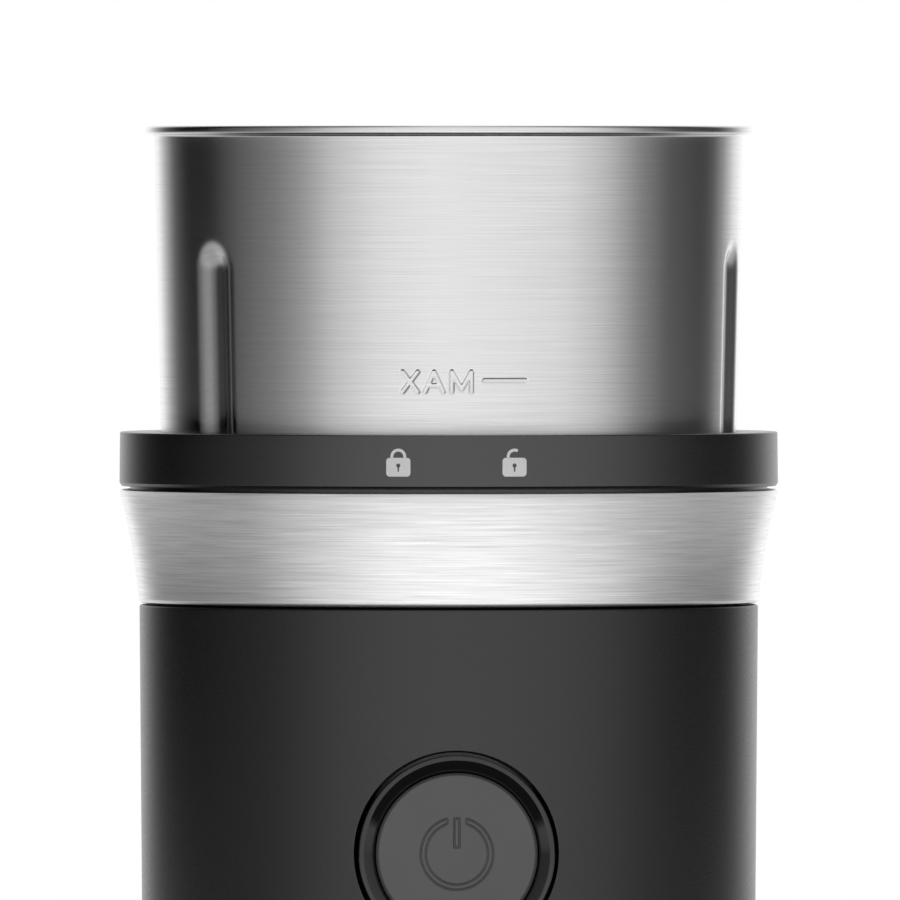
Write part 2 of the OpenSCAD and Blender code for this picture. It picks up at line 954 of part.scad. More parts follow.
// Round cap with a bevelled edge, a hollow back and a stem
module button_cap() {
    color("#575757")
        facing_front()
            difference() {
                rotate_extrude()
                    polygon([
                        [0, guide_face - 2], [2.5, guide_face - 2], [2.5, cap_face - 2],
                        [cap_r - 1.6, cap_face - 2], [cap_r - 1.6, cap_foot], [cap_r, cap_foot],
                        [cap_r, cap_face - 0.4], [cap_r - 0.45, cap_face], [0, cap_face]
                    ]);
                translate([0, 0, cap_face - 0.3]) linear_extrude(1) power_sign();
            }
}

// Generic power sign: a broken ring with an upright bar
module power_sign() {
    difference() {
        circle(4.6);
        circle(3.9);
        translate([-1.3, 0]) square([2.6, 6]);
    }
    translate([-0.35, 1]) square([0.7, 4.2]);
}

module power_symbol() {
    color("#3a3a3a")
        facing_front()
            translate([0, 0, cap_face - 0.3]) linear_extrude(0.22) power_sign();
}

// Plate behind the button that guides its stem and holds the switch
module button_guide() {
    color("#2a2a2a")
        facing_front()
            difference() {
                union() {
                    post(15.6, guide_face - 2, guide_face);
                    for (side = [-1, 1])
                        block([side * 11.2 - 1, -5, switch_face - 6], [side * 11.2 + 1, 5, guide_face - 1]);
                }
                post(2.56, guide_face - 4, guide_face + 2);
            }
}

// Return spring under the cap, drawn as stacked rings that stand for its coils
module button_spring() {
    turns = 3;
    pitch = 1;
    wire_r = 0.4;
    color("#a9abad")
        facing_front()
            for (i = [0:turns - 1])
                translate([0, 0, guide_face + wire_r + 0.1 + i * pitch])
                    rotate_extrude()
                        translate([5, 0]) circle(wire_r, $fn = 24);
}

// Snap switch that the button closes
module power_switch() {
    color("#303030")
        facing_front() translate([0, 0, switch_face - 8]) snap_switch(8);
}

// Small plunger of the power switch
module switch_plunger() {
    color("#d8d8d0")
        facing_front() block([-1.2, -0.8, switch_face - 2.2], [1.2, 0.8, guide_face - 2]);
}

// Circuit board that rectifies the motor's supply
module circuit_board() {
    color("#2f5a3a")
        block([-17, board_y, board_z + 1.1], [17, board_y + board_t, board_z + board_h - 1]);
}

module suppression_capacitor() {
    color("#c9a43a") block([-7, board_y + board_t, 40], [7, board_y + board_t + 6, 52]);
}

module thermal_fuse() {
    color("#c7c7c7") {
        translate([-6, board_y + board_t + 2, 34]) rotate([0, 90, 0]) cylinder(r = 2, h = 12);
    }
}

// Screw terminals on the bottom cover, where the mains conductors end
module terminal_block() {
    color("#d9d9d4")
        difference() {
            block([-9, 23.5, cover_top], [9, 30.5, cover_top + 9]);
            for (side = [-1, 1])
                translate([side * 4.5, 27, 0]) {
                    post(1.8, cover_top + 6, cover_top + 10);
                    translate([0, 0, cover_top + 3.4]) rotate([-90, 0, 0]) cylinder(r = 1.5, h = 6);
                }
        }
}

// Two wires from the terminals to the board
module mains_wires() {
    color("#5a3a22")
        for (side = [-1, 1])
            wire([
                [side * 4.5, 29.4, cover_top + 9.5], [side * 4.5, 34.6, cover_top + 14],
                [side * 4.5, 34.6, 26.6], [side * 4.5, board_y + board_t + 0.1, 26.8]
            ]);
}

// Two wires around the motor to the power switch
module switch_wires() {
    color("#2b2b2b")
        for (side = [-1, 1])
            wire([
                [side * 12, board_y - 0.95, 30], [side * 12, 27.6, 19],
                [side * 33, 16, 19.5], [side * 33, -14, 20],
                [side * 25, -29.5, 30], [side * 13, -30.5, 56.5], [side * 6.2, -29.5, button_z - 3.7]
            ]);
}

// Two wires up the back to the interlock switch
module interlock_wires() {
    color("#8a2a22")
        for (side = [-1, 1])
            wire([
                [side * 9, board_y + board_t + 0.1, 53], [side * 9, 33.6, 53.2], [side * 9, 35, 58],
                [side * 7, 37.4, 66], [side * 7, 37.4, deck_top - 27.6]
            ]);
}

// Wires from the board to the brushes and the field coils
module motor_wires() {
    color("#23405e") {
        wire([[2, board_y, brush_z], [2, 27, brush_z]]);
        wire([
            [-8, board_y - 0.95, 26], [-8, 27.7, 20.5], [-30, 14, 21], [-30, -12, 21.5],
            [-16, -29, 28], [-2, -29.5, brush_z], [-2, -27, brush_z]
        ]);
        for (side = [-1, 1])
            wire([
                [side * 16, 19.3, stator_z - 4], [side * 15, 23, stator_z - 6],
                [side * 13, 27, stator_z - 8], [side * 13, board_y, stator_z - 8]
            ]);
    }
}

body_shell();
top_ring();
lock_mark();
unlock_mark();
steel_band();
well_deck();
deck_screws();
bottom_cover();
cover_screws();
rubber_feet();
cord_inlet();
cup_shell();
cup_base();
cup_screws();
shaft_bush();
shaft_seal();
grinding_blade();
blade_shaft();
blade_nut();
shaft_clip();
cup_coupling();
lock_ring();
interlock_pin();
interlock_plunger();
interlock_switch();
motor_frame();
motor_dampers();
damper_screws();
lower_frame();
frame_bolts();
stator_core();
field_coils();
brush_holders();
carbon_brushes();
upper_bearing();
lower_bearing();
motor_shaft();
armature_core();
armature_windings();
commutator();
cooling_fan();
drive_coupling();
button_bezel();
button_cap();
power_symbol();
button_guide();
button_spring();
power_switch();
switch_plunger();
circuit_board();
suppression_capacitor();
thermal_fuse();
terminal_block();
mains_wires();
switch_wires();
interlock_wires();
motor_wires();
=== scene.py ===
"""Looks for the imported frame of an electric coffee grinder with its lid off, laid out as a Blender add-on.

Every piece sits where its CAD node sits, in metres, with +Z up and the push button facing -Y.
"""

import math

import bpy
import numpy as np
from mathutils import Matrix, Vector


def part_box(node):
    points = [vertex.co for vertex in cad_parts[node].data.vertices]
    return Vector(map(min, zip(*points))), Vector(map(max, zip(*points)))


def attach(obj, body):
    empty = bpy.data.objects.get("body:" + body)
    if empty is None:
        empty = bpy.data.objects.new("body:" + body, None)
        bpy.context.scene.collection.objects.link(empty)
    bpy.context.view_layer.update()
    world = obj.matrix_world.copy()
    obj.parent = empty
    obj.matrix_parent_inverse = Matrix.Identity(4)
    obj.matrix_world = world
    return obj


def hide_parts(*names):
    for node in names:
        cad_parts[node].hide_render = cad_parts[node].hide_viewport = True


bl_info = {
    "name": "Coffee Grinder Looks",
    "version": (1, 0, 0),
    "blender": (4, 5, 0),
    "location": "3D View > Sidebar > Grinder",
    "description": "Builds the finished surfaces of an electric coffee grinder around its packed frame",
    "category": "Object",
}

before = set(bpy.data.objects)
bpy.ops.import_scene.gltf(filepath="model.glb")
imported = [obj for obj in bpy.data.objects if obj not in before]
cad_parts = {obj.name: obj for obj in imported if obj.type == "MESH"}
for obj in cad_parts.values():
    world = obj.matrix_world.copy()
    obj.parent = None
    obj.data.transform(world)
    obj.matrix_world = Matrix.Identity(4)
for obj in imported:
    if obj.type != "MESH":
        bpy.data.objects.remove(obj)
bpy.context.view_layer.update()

MM = 0.001
TURN = 2 * math.pi

# Levels and radii that the CAD nodes give, in metres
COLLAR_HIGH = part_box("top_ring")[1]
BAND_LOW, BAND_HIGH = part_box("steel_band")
SHELL_LOW, SHELL_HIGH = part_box("body_shell")
CUP_LOW, CUP_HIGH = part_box("cup_shell")
CAP_LOW, CAP_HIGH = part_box("button_cap")
BEZEL_LOW, BEZEL_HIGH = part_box("button_bezel")
RING_TOP = COLLAR_HIGH.z
RING_FOOT = BAND_HIGH.z + 0.5 * MM
RING_R = COLLAR_HIGH.x
SKIRT_R = RING_R - 0.03 * MM
WELL_R = 43.5 * MM
BUTTON_Z = (CAP_LOW.z + CAP_HIGH.z) / 2


# ---------------------------------------------------------------- settings


class GrinderSizes(bpy.types.PropertyGroup):
    """Sizes of the finished surfaces that the frame leaves open"""

    def length(name, description, default):
        return bpy.props.FloatProperty(
            name=name, description=description, default=default, unit="LENGTH", subtype="DISTANCE", precision=5
        )

    cup_sheet: length("Cup sheet", "Thickness of the cup's steel", 0.8 * MM)
    cup_flange: length("Rim edge", "Height of the rim's rounded edge", 1.3 * MM)
    cup_overhang: length("Rim overhang", "Reach of the rim past the wall", 1.3 * MM)
    cup_draft: length("Cup draft", "Narrowing of the cup's radius from its rim to the collar", 1.05 * MM)
    press_width: length("Channel half width", "Half of a channel's width at the wall", 4.1 * MM)
    press_floor: length("Channel floor", "Half of the width of a channel's flat floor", 1.35 * MM)
    press_depth: length("Channel depth", "Depth of a channel's floor", 1.28 * MM)
    press_rise: length("Channel height", "Height of a channel's round top above the collar", 28.0 * MM)
    mark_depth: length("Mark depth", "Depth of the pressed fill mark", 0.22 * MM)
    mark_height: length("Mark height", "Height of the fill mark's letters", 2.95 * MM)
    band_sheet: length("Band sheet", "Thickness of the flared band", 0.8 * MM)
    band_curve: length("Band curve", "Radius of the band's hollow arc", 98 * MM)
    housing_taper: length("Housing taper", "Narrowing of the housing's radius down to its foot", 0.8 * MM)
    housing_wall: length("Housing wall", "Thickness of the housing", 2.4 * MM)
    sign_line: length("Sign line", "Width of the lines engraved in the button", 0.24 * MM)


class GrinderColours(bpy.types.PropertyGroup):
    """Colours of the finishes, as sRGB hex values"""

    def colour(name, default):
        return bpy.props.StringProperty(name=name, description=name + " as an sRGB hex value", default=default)

    housing: colour("Housing black", "0e0e0f")
    collar: colour("Collar black", "0d0d0e")
    bezel: colour("Bezel black", "1a1a1b")
    cap: colour("Button grey", "525253")
    mark: colour("Padlock grey", "efefef")
    cup: colour("Cup steel", "cacaca")
    band: colour("Band steel", "dcdcdc")


def sizes():
    return bpy.context.scene.grinder_sizes


def colours():
    return bpy.context.scene.grinder_colours


# ---------------------------------------------------------------- mesh tools


def full_turn(count):
    """Equal steps of angle over a full turn."""
    return np.linspace(0, TURN, count, endpoint=False)


def unit(turn):
    """Unit vectors (cos, sin) at the given angles."""
    return np.stack([np.cos(turn), np.sin(turn)], 1)


def around(r, angle, z):
    """Points (r sin a, -r cos a, z) at an angle from the front; a column of r or z gives one row of points each."""
    return np.stack(np.broadcast_arrays(r * np.sin(angle), -r * np.cos(angle), z), -1).reshape(-1, 3)


def grid_faces(rows, columns, close_rows=False, close_columns=False):
    """Quads between neighbouring points of a rows by columns grid; a closed side joins its last line to its first."""
    r = np.arange(rows if close_rows else rows - 1)[:, None]
    c = np.arange(columns if close_columns else columns - 1)[None, :]
    up, along = (r + 1) % rows, (c + 1) % columns
    quads = [r * columns + c, r * columns + along, up * columns + along, up * columns + c]
    return np.stack(quads, -1).reshape(-1, 4)


def outward(points, faces):
    """Turns all faces over when the signed volume, a sixth of the sum of corner triple products, is negative."""
    a, b, c, d = (points[faces[:, k]] for k in range(4))
    volume = np.einsum("ij,ij->i", a, np.cross(b, c)).sum() + np.einsum("ij,ij->i", a, np.cross(c, d)).sum()
    return faces if volume > 0 else faces[:, ::-1]


def joined(parts):
    """One points array and one faces array from several (points, faces) pairs."""
    starts = np.cumsum([0] + [len(p) for p, _ in parts[:-1]])
    return np.concatenate([p for p, _ in parts]), np.concatenate([f + s for (_, f), s in zip(parts, starts)])


def new_object(name, shape, finish):
    """Object in the scene with a mesh of quads in one finish."""
    points, faces = shape
    mesh = bpy.data.meshes.new(name)
    mesh.vertices.add(len(points))
    mesh.vertices.foreach_set("co", np.asarray(points, np.float32).ravel())
    mesh.loops.add(faces.size)
    mesh.loops.foreach_set("vertex_index", faces.astype(np.int32).ravel())
    mesh.polygons.add(len(faces))
    mesh.polygons.foreach_set("loop_start", np.arange(0, faces.size, 4, dtype=np.int32))
    mesh.update(calc_edges=True)
    mesh.materials.append(finish)
    made = bpy.data.objects.new(name, mesh)
    bpy.context.scene.collection.objects.link(made)
    return made


def make_piece(name, shape, finish, body, replaced, sharp=38):
    """Puts a shape in its named finish on its body, smooth except at edges sharper than the given degrees."""
    piece = new_object(name, shape, finish_of(finish))
    piece.data.polygons.foreach_set("use_smooth", np.ones(len(piece.data.polygons), bool))
    piece.data.set_sharp_from_angle(angle=math.radians(sharp))
    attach(piece, body)
    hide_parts(*replaced)


def filleted(corners, steps=6):
    """Closed outline through (x, y, radius) corners, each rounded by an arc that touches both of its sides.

    The arc starts radius / tan(half angle) before the corner, and its points are centre + radius * (cos, sin).
    """
    corners = np.asarray(corners, float)
    outline = []
    for k, (x, y, radius) in enumerate(corners):
        here = np.array([x, y])
        before = corners[k - 1, :2] - here
        after = corners[(k + 1) % len(corners), :2] - here
        before, after = before / np.linalg.norm(before), after / np.linalg.norm(after)
        half = math.acos(max(-1.0, min(1.0, float(before @ after)))) / 2
        if radius <= 0 or half > 1.56:
            outline.append(here[None])
            continue
        middle = before + after
        centre = here + middle / np.linalg.norm(middle) * radius / math.sin(half)
        start = here + before * radius / math.tan(half) - centre
        end = here + after * radius / math.tan(half) - centre
        sweep = math.atan2(start[0] * end[1] - start[1] * end[0], start @ end)
        angle = math.atan2(start[1], start[0]) + np.linspace(0, sweep, steps + 1)
        outline.append(centre + radius * unit(angle))
    return np.concatenate(outline)


def refined(outline, longest):
    """Closed outline with each side cut into equal parts no longer than the given length."""
    out = []
    for start, end in zip(outline, np.roll(outline, -1, axis=0)):
        parts = max(1, math.ceil(np.linalg.norm(end - start) / longest))
        out.append(start + (end - start) * np.linspace(0, 1, parts, endpoint=False)[:, None])
    return np.concatenate(out)


def revolved(outline, columns=256):
    """Closed (radius, height) outline turned about Z."""
    points = around(outline[:, :1], full_turn(columns), outline[:, 1:])
    return points, outward(points, grid_faces(len(outline), columns, True, True))


def capped(outline, columns=96):
    """Open (radius, height) outline that starts and ends on the axis, turned about Z, with a fan at each pole."""
    wall = around(outline[1:-1, :1], full_turn(columns), outline[1:-1, 1:])
    points = np.concatenate([wall, [[0, 0, outline[0, 1]], [0, 0, outline[-1, 1]]]])
    faces = [grid_faces(len(outline) - 2, columns, False, True)]
    even = np.arange(0, columns, 2)
    for pole, first, order in ((len(wall), 0, 1), (len(wall) + 1, len(wall) - columns, -1)):
        fan = [np.full(len(even), pole), first + (even + 2) % columns, first + even + 1, first + even]
        faces.append(np.stack(fan, 1)[:, ::order])
    return points, outward(points, np.concatenate(faces))


def facing_front(shape):
    """Turns a shape made about Z so that its +Z points out of the front at the button's height."""
    points, faces = shape
    turned = np.stack([points[:, 0], -points[:, 2], points[:, 1] + BUTTON_Z], 1)
    return turned, outward(turned, faces)


def smooth_min(a, b, width):
    """Smaller of two arrays, rounded over the given width by the polynomial blend."""
    h = np.clip(0.5 + 0.5 * (b - a) / width, 0, 1)
    return b + (a - b) * h - width * h * (1 - h)


def smooth_step(x):
    x = np.clip(x, 0, 1)
    return x * x * (3 - 2 * x)


def segment_distance(x, y, segments):
    """Least distance from each (x, y) to any of the straight (x0, y0, x1, y1) segments."""
    best = np.full(np.broadcast(x, y).shape, np.inf)
    for x0, y0, x1, y1 in segments:
        dx, dy = x1 - x0, y1 - y0
        along = np.clip(((x - x0) * dx + (y - y0) * dy) / (dx * dx + dy * dy), 0, 1)
        best = np.minimum(best, np.hypot(x - x0 - along * dx, y - y0 - along * dy))
    return best


# ---------------------------------------------------------------- finishes


def linear(hex_value):
    """Linear RGBA from an sRGB hex value."""
    srgb = [int(hex_value[k:k + 2], 16) / 255 for k in (0, 2, 4)]
    return (*[c / 12.92 if c <= 0.04045 else ((c + 0.055) / 1.055) ** 2.4 for c in srgb], 1.0)


def fill(tree, node, inputs):
    """Gives a node's inputs values or sockets, by name or number."""
    for key, value in inputs.items():
        if isinstance(value, bpy.types.NodeSocket):
            tree.links.new(value, node.inputs[key])
        else:
            node.inputs[key].default_value = value


def add(tree, kind, inputs=None, **settings):
    """Adds a shader node with the given inputs; settings are the node's own properties."""
    made = tree.nodes.new(kind)
    for key, value in settings.items():
        setattr(made, key, value)
    fill(tree, made, inputs or {})
    return made


def calc(tree, operation, a, b):
    return add(tree, "ShaderNodeMath", {0: a, 1: b}, operation=operation).outputs[0]


def from_axis(tree, place):
    """Distance of a place from the Z axis: the length of the vector (x, y, 0)."""
    flat = add(tree, "ShaderNodeVectorMath", {0: place, 1: (1.0, 1.0, 0.0)}, operation="MULTIPLY").outputs[0]
    return add(tree, "ShaderNodeVectorMath", {0: flat}, operation="LENGTH").outputs["Value"]


def emptied(holder):
    """Node tree of a new material or world with nothing in it."""
    holder.use_nodes = True
    holder.node_tree.nodes.clear()
    return holder.node_tree


def new_finish(name):
    """Material with a Principled shader, its node tree and its object coordinates."""
    finish = bpy.data.materials.new(name)
    tree = emptied(finish)
    shader = add(tree, "ShaderNodeBsdfPrincipled")
    add(tree, "ShaderNodeOutputMaterial", {"Surface": shader.outputs[0]})
    return finish, tree, shader, add(tree, "ShaderNodeTexCoord").outputs["Object"]


def noise(tree, coordinates, size, detail=2.0, roughness=0.5):
    """Noise whose patches are about the given size in metres, or a size for each axis."""
    scale = tuple(1 / s for s in size) if isinstance(size, tuple) else (1 / size,) * 3
    placed = add(tree, "ShaderNodeMapping", {"Vector": coordinates, "Scale": scale})
    return add(tree, "ShaderNodeTexNoise", {
        "Vector": placed.outputs[0], "Scale": 1.0, "Detail": detail, "Roughness": roughness}).outputs["Fac"]


def spread(tree, value, low, high, start=0.3, stop=0.7):
    """Value taken from one span to another; a noise's usual span is 0.3 to 0.7."""
    return add(tree, "ShaderNodeMapRange", {
        "Value": value, "From Min": start, "From Max": stop, "To Min": low, "To Max": high}).outputs[0]


def tinted(tree, shader, factor, dark, light):
    """Base colour that goes from one hex colour to another with a factor."""
    mix = add(tree, "ShaderNodeMix", {0: factor, 6: linear(dark), 7: linear(light)}, data_type="RGBA")
    tree.links.new(mix.outputs[2], shader.inputs["Base Color"])


def toned(tree, shader, marks, hex_value, contrast):
    """Base colour that goes with the marks from a little darker than one hex colour to a little lighter."""
    def shade(factor):
        parts = (round(int(hex_value[k:k + 2], 16) * factor) for k in (0, 2, 4))
        return "".join("%02x" % max(0, min(255, part)) for part in parts)

    tinted(tree, shader, spread(tree, marks, 0, 1), shade(1 - contrast), shade(1 + contrast))


def bumped(tree, height, distance, strength):
    """Normal of a surface raised by a height from 0 to 1 times a distance."""
    return add(tree, "ShaderNodeBump", {"Height": height, "Distance": distance, "Strength": strength}).outputs[0]


def brushed_steel(name, hex_value, roughness, streak, contrast):
    """Stainless steel brushed around its axis: fine streaks along the brushing and a highlight drawn out across it."""
    finish, tree, shader, place = new_finish(name)
    split = add(tree, "ShaderNodeSeparateXYZ", {"Vector": place}).outputs
    height = calc(tree, "ADD", split["Z"], from_axis(tree, place))
    across = add(tree, "ShaderNodeCombineXYZ", {"X": split["X"], "Y": split["Y"], "Z": height}).outputs[0]
    along, width = streak
    fine = noise(tree, across, (along, along, width), 4.0, 0.65)
    broad = noise(tree, across, (along * 2.5, along * 2.5, width * 7), 3.0, 0.6)
    both = add(tree, "ShaderNodeMix", {"Factor": 0.12, "A": fine, "B": broad}).outputs[0]
    toned(tree, shader, both, hex_value, contrast)
    fill(tree, shader, {
        "Roughness": spread(tree, both, roughness + 0.03, roughness - 0.03),
        "Normal": bumped(tree, both, 0.002 * MM, 0.5),
        "Metallic": 1.0, "Anisotropic": 0.75, "Anisotropic Rotation": 0.25,
        "Tangent": add(tree, "ShaderNodeTangent", direction_type="RADIAL", axis="Z").outputs[0]})
    return finish


def moulded_plastic(name, hex_value, roughness, grain, depth, variation=0.06, ior=1.5):
    """Moulded plastic: an even colour with the fine pebbling of its tool, rougher where the grain is raised."""
    finish, tree, shader, place = new_finish(name)
    pebbles = noise(tree, place, grain, 3.0, 0.55)
    toned(tree, shader, noise(tree, place, 14 * MM), hex_value, variation)
    fill(tree, shader, {
        "Roughness": spread(tree, pebbles, roughness - 0.04, roughness + 0.04),
        "Normal": bumped(tree, pebbles, depth, 0.6), "IOR": ior})
    return finish


def metal(name, hex_value, roughness, size, depth, contrast=0.08):
    """Bare metal with the marks of how it was made, given as the size of the marks along each axis."""
    finish, tree, shader, place = new_finish(name)
    marks = noise(tree, place, size, 4.0, 0.6)
    toned(tree, shader, marks, hex_value, contrast)
    fill(tree, shader, {
        "Roughness": spread(tree, marks, roughness - 0.06, roughness + 0.06),
        "Normal": bumped(tree, marks, depth, 0.5), "Metallic": 1.0})
    return finish


def banded(name, dark, light, pitch, metallic, roughness, depth):
    """Surface of stacked or wound layers: even bands up Z at the given pitch, with a little unevenness."""
    finish, tree, shader, place = new_finish(name)
    wave = add(tree, "ShaderNodeTexWave", {
        "Vector": place, "Scale": 1 / pitch / math.pi, "Distortion": 0.6, "Detail": 1.0, "Detail Scale": 2.0},
        wave_type="BANDS", bands_direction="Z", wave_profile="SIN").outputs["Fac"]
    grime = noise(tree, place, 5 * MM, 3.0)
    both = add(tree, "ShaderNodeMix", {"Factor": 0.35, "A": wave, "B": grime}).outputs[0]
    tinted(tree, shader, both, dark, light)
    fill(tree, shader, {
        "Roughness": spread(tree, grime, roughness - 0.08, roughness + 0.08),
        "Normal": bumped(tree, wave, depth, 0.7), "Metallic": metallic})
    return finish


# How each finish is made: its maker, its hex colour or the name of its colour setting, and the maker's other values
FINISHES = {
    # Spark-textured ABS: matt black, a fine even grain that scatters a broad soft highlight
    "spark_textured_abs": (moulded_plastic, "housing", 0.3, 0.35 * MM, 0.02 * MM, 0.06, 1.53),
    # Satin ABS: smoother than the housing, so that the light's edges show in it
    "satin_abs": (moulded_plastic, "collar", 0.3, 0.25 * MM, 0.004 * MM, 0.06, 1.7),
    # Gloss ABS: a polished tool leaves a clear reflection
    "gloss_abs": (moulded_plastic, "bezel", 0.1, 3 * MM, 0.004 * MM, 0.03),
    # Metallised satin paint on the push button, an even mid grey
    "satin_painted_abs": (moulded_plastic, "cap", 0.36, 0.2 * MM, 0.003 * MM, 0.03),
    # Pad-printed ink: flat pale grey with a slightly uneven film
    "pad_printed_ink": (moulded_plastic, "mark", 0.5, 0.2 * MM, 0.006 * MM, 0.03),
    # Drawn stainless steel, brushed around the cup
    "brushed_cup_steel": (brushed_steel, "cup", 0.24, (22 * MM, 0.11 * MM), 0.05),
    # Rolled stainless band with a coarser brushing
    "brushed_band_steel": (brushed_steel, "band", 0.3, (14 * MM, 0.2 * MM), 0.08),
    # Ground blade steel with short marks across the arms
    "ground_blade_steel": (metal, "c4c5c6", 0.26, (0.15 * MM, 4 * MM, 4 * MM), 0.004 * MM),
    # Lathe-turned steel: rings around the shaft
    "turned_steel": (metal, "b4b5b6", 0.25, (6 * MM, 6 * MM, 0.12 * MM), 0.004 * MM),
    # Zinc plating with a faint mottle
    "zinc_plated_steel": (metal, "a9abae", 0.35, 1.2 * MM, 0.004 * MM, 0.12),
    # Oil-filled sintered bronze, porous and dull
    "sintered_bronze": (metal, "9a7448", 0.5, 0.25 * MM, 0.02 * MM, 0.2),
    # Die-cast zinc alloy with a sandy skin
    "die_cast_alloy": (metal, "9da0a3", 0.5, 0.5 * MM, 0.02 * MM, 0.1),
    # EPDM rubber: dark, dull, with a soft mottle
    "moulded_rubber": (moulded_plastic, "1a1a1a", 0.7, 0.5 * MM, 0.02 * MM),
    # Glass-filled nylon: slightly cloudy black
    "glass_filled_nylon": (moulded_plastic, "222223", 0.45, 0.3 * MM, 0.01 * MM, 0.12),
    # Natural acetal, cream coloured and waxy
    "natural_acetal": (moulded_plastic, "d6d3c4", 0.35, 0.4 * MM, 0.004 * MM, 0.04),
    # Phenolic resin of the brush boxes, brown with a mottle
    "phenolic_resin": (moulded_plastic, "5b3a24", 0.45, 0.6 * MM, 0.006 * MM, 0.25),
    # Pressed carbon, matt with a grey bloom
    "pressed_carbon": (moulded_plastic, "242426", 0.6, 0.3 * MM, 0.01 * MM, 0.2),
    # Blue-grey polypropylene of the fan
    "fan_polypropylene": (moulded_plastic, "3b4a5c", 0.4, 0.5 * MM, 0.005 * MM),
    # Silicone sleeve on the wires
    "silicone_sleeve": (moulded_plastic, "6a4030", 0.55, 1.5 * MM, 0.01 * MM, 0.15),
    # Solder mask over glass-fibre board, green with a woven mottle
    "solder_mask": (moulded_plastic, "2c5a38", 0.3, 0.5 * MM, 0.006 * MM, 0.15),
    # Yellow lacquer of the capacitor
    "capacitor_lacquer": (moulded_plastic, "c79e35", 0.2, 2 * MM, 0.01 * MM),
    # Stacked electrical steel: 0.5 mm plates seen as lines
    "stacked_plates": (banded, "4e4f50", "808183", 0.5 * MM, 1.0, 0.45, 0.03 * MM),
    # Enamelled copper wire, wound in 0.4 mm turns
    "enamelled_copper": (banded, "6e3214", "b8703c", 0.4 * MM, 0.8, 0.35, 0.06 * MM),
}


def finish_of(name):
    """The finish with the given name, made the first time that it is asked for."""
    if name in bpy.data.materials:
        return bpy.data.materials[name]
    maker, colour, *values = FINISHES[name]
    return maker(name, getattr(colours(), colour, colour), *values)


# CAD nodes that keep their own mesh, by the finish they get
CARRIED_OVER = {
    "glass_filled_nylon": ("well_deck", "cup_base", "bottom_cover", "button_guide", "lock_ring", "cup_coupling",
                           "drive_coupling", "power_switch", "interlock_switch"),
    "zinc_plated_steel": ("deck_screws", "cover_screws", "damper_screws", "frame_bolts", "shaft_clip",
                          "button_spring", "thermal_fuse"),
    "turned_steel": ("motor_shaft", "blade_shaft", "upper_bearing", "lower_bearing"),
    "sintered_bronze": ("shaft_bush",),
    "die_cast_alloy": ("motor_frame", "lower_frame"),
    "stacked_plates": ("stator_core", "armature_core"),
    "enamelled_copper": ("field_coils", "armature_windings", "commutator"),
    "moulded_rubber": ("motor_dampers",),
    "natural_acetal": ("interlock_pin", "interlock_plunger", "switch_plunger", "terminal_block"),
    "phenolic_resin": ("brush_holders",),
    "pressed_carbon": ("carbon_brushes",),
    "fan_polypropylene": ("cooling_fan",),
    "solder_mask": ("circuit_board",),
    "capacitor_lacquer": ("suppression_capacitor",),
    "silicone_sleeve": ("mains_wires", "switch_wires", "interlock_wires", "motor_wires"),
}


# ---------------------------------------------------------------- pieces


def spaced(stops, steps):
    """Growing values from the first stop to the last, with about the given step inside each stretch."""
    parts = [np.linspace(a, b, max(1, math.ceil((b - a) / s)), endpoint=False)
             for a, b, s in zip(stops[:-1], stops[1:], steps)]
    return np.concatenate(parts + [[stops[-1]]])


CHANNEL_ANGLES = (-55.0, 75.0, 190.0)


def fill_mark_depth(arc, height):
    """Depth of the fill mark from 0 to 1 over the wall, in metres along the wall and above the mark's foot.

    The word is mirrored on the outside, because it is read from inside. Each stroke is a trough that is deepest just
    under its upper edge and runs out gently to its lower edge: a steep step at a set distance from the stroke, times
    a gentle one around the same stroke moved up a little.
    """
    h = sizes().mark_height
    letters = [
        (-7.95, 0, -5.7, 1), (-7.95, 1, -5.7, 0),
        (-4.62, 0, -3.28, 1), (-1.94, 0, -3.28, 1), (-4.1, 0.32, -2.45, 0.32),
        (-0.67, 0, -0.67, 1), (2.23, 0, 2.23, 1), (-0.67, 1, 0.78, 0.12), (2.23, 1, 0.78, 0.12),
        (4.15, 0.56, 10.3, 0.56),
    ]
    strokes = [(x0 * MM, y0 * h, x1 * MM, y1 * h) for x0, y0, x1, y1 in letters]
    upper = smooth_step((0.44 * MM - segment_distance(arc, height, strokes)) / (0.24 * MM))
    gentle = smooth_step((0.62 * MM - segment_distance(arc, height - 0.1 * MM, strokes)) / (0.6 * MM))
    return upper * (0.6 + 0.4 * gentle)


def channel_depth(u, z):
    """Depth of a channel at a distance u along the wall from its middle line and at height z.

    With s the distance to the line that ends half a width under the channel's top, the depth is (half width - s)
    times the slope of the side walls, held between 0 and the floor's depth with rounded corners.
    """
    s = sizes()
    half, floor, deep = s.press_width, s.press_floor, s.press_depth
    end = RING_TOP + s.press_rise - half
    away = np.hypot(u, np.maximum(z - end, 0))
    slant = (half - away) * deep / (half - floor)
    rounded = smooth_min(slant, deep + 0 * slant, 0.4 * MM)
    return -smooth_min(-rounded, 0 * rounded, 0.45 * MM)


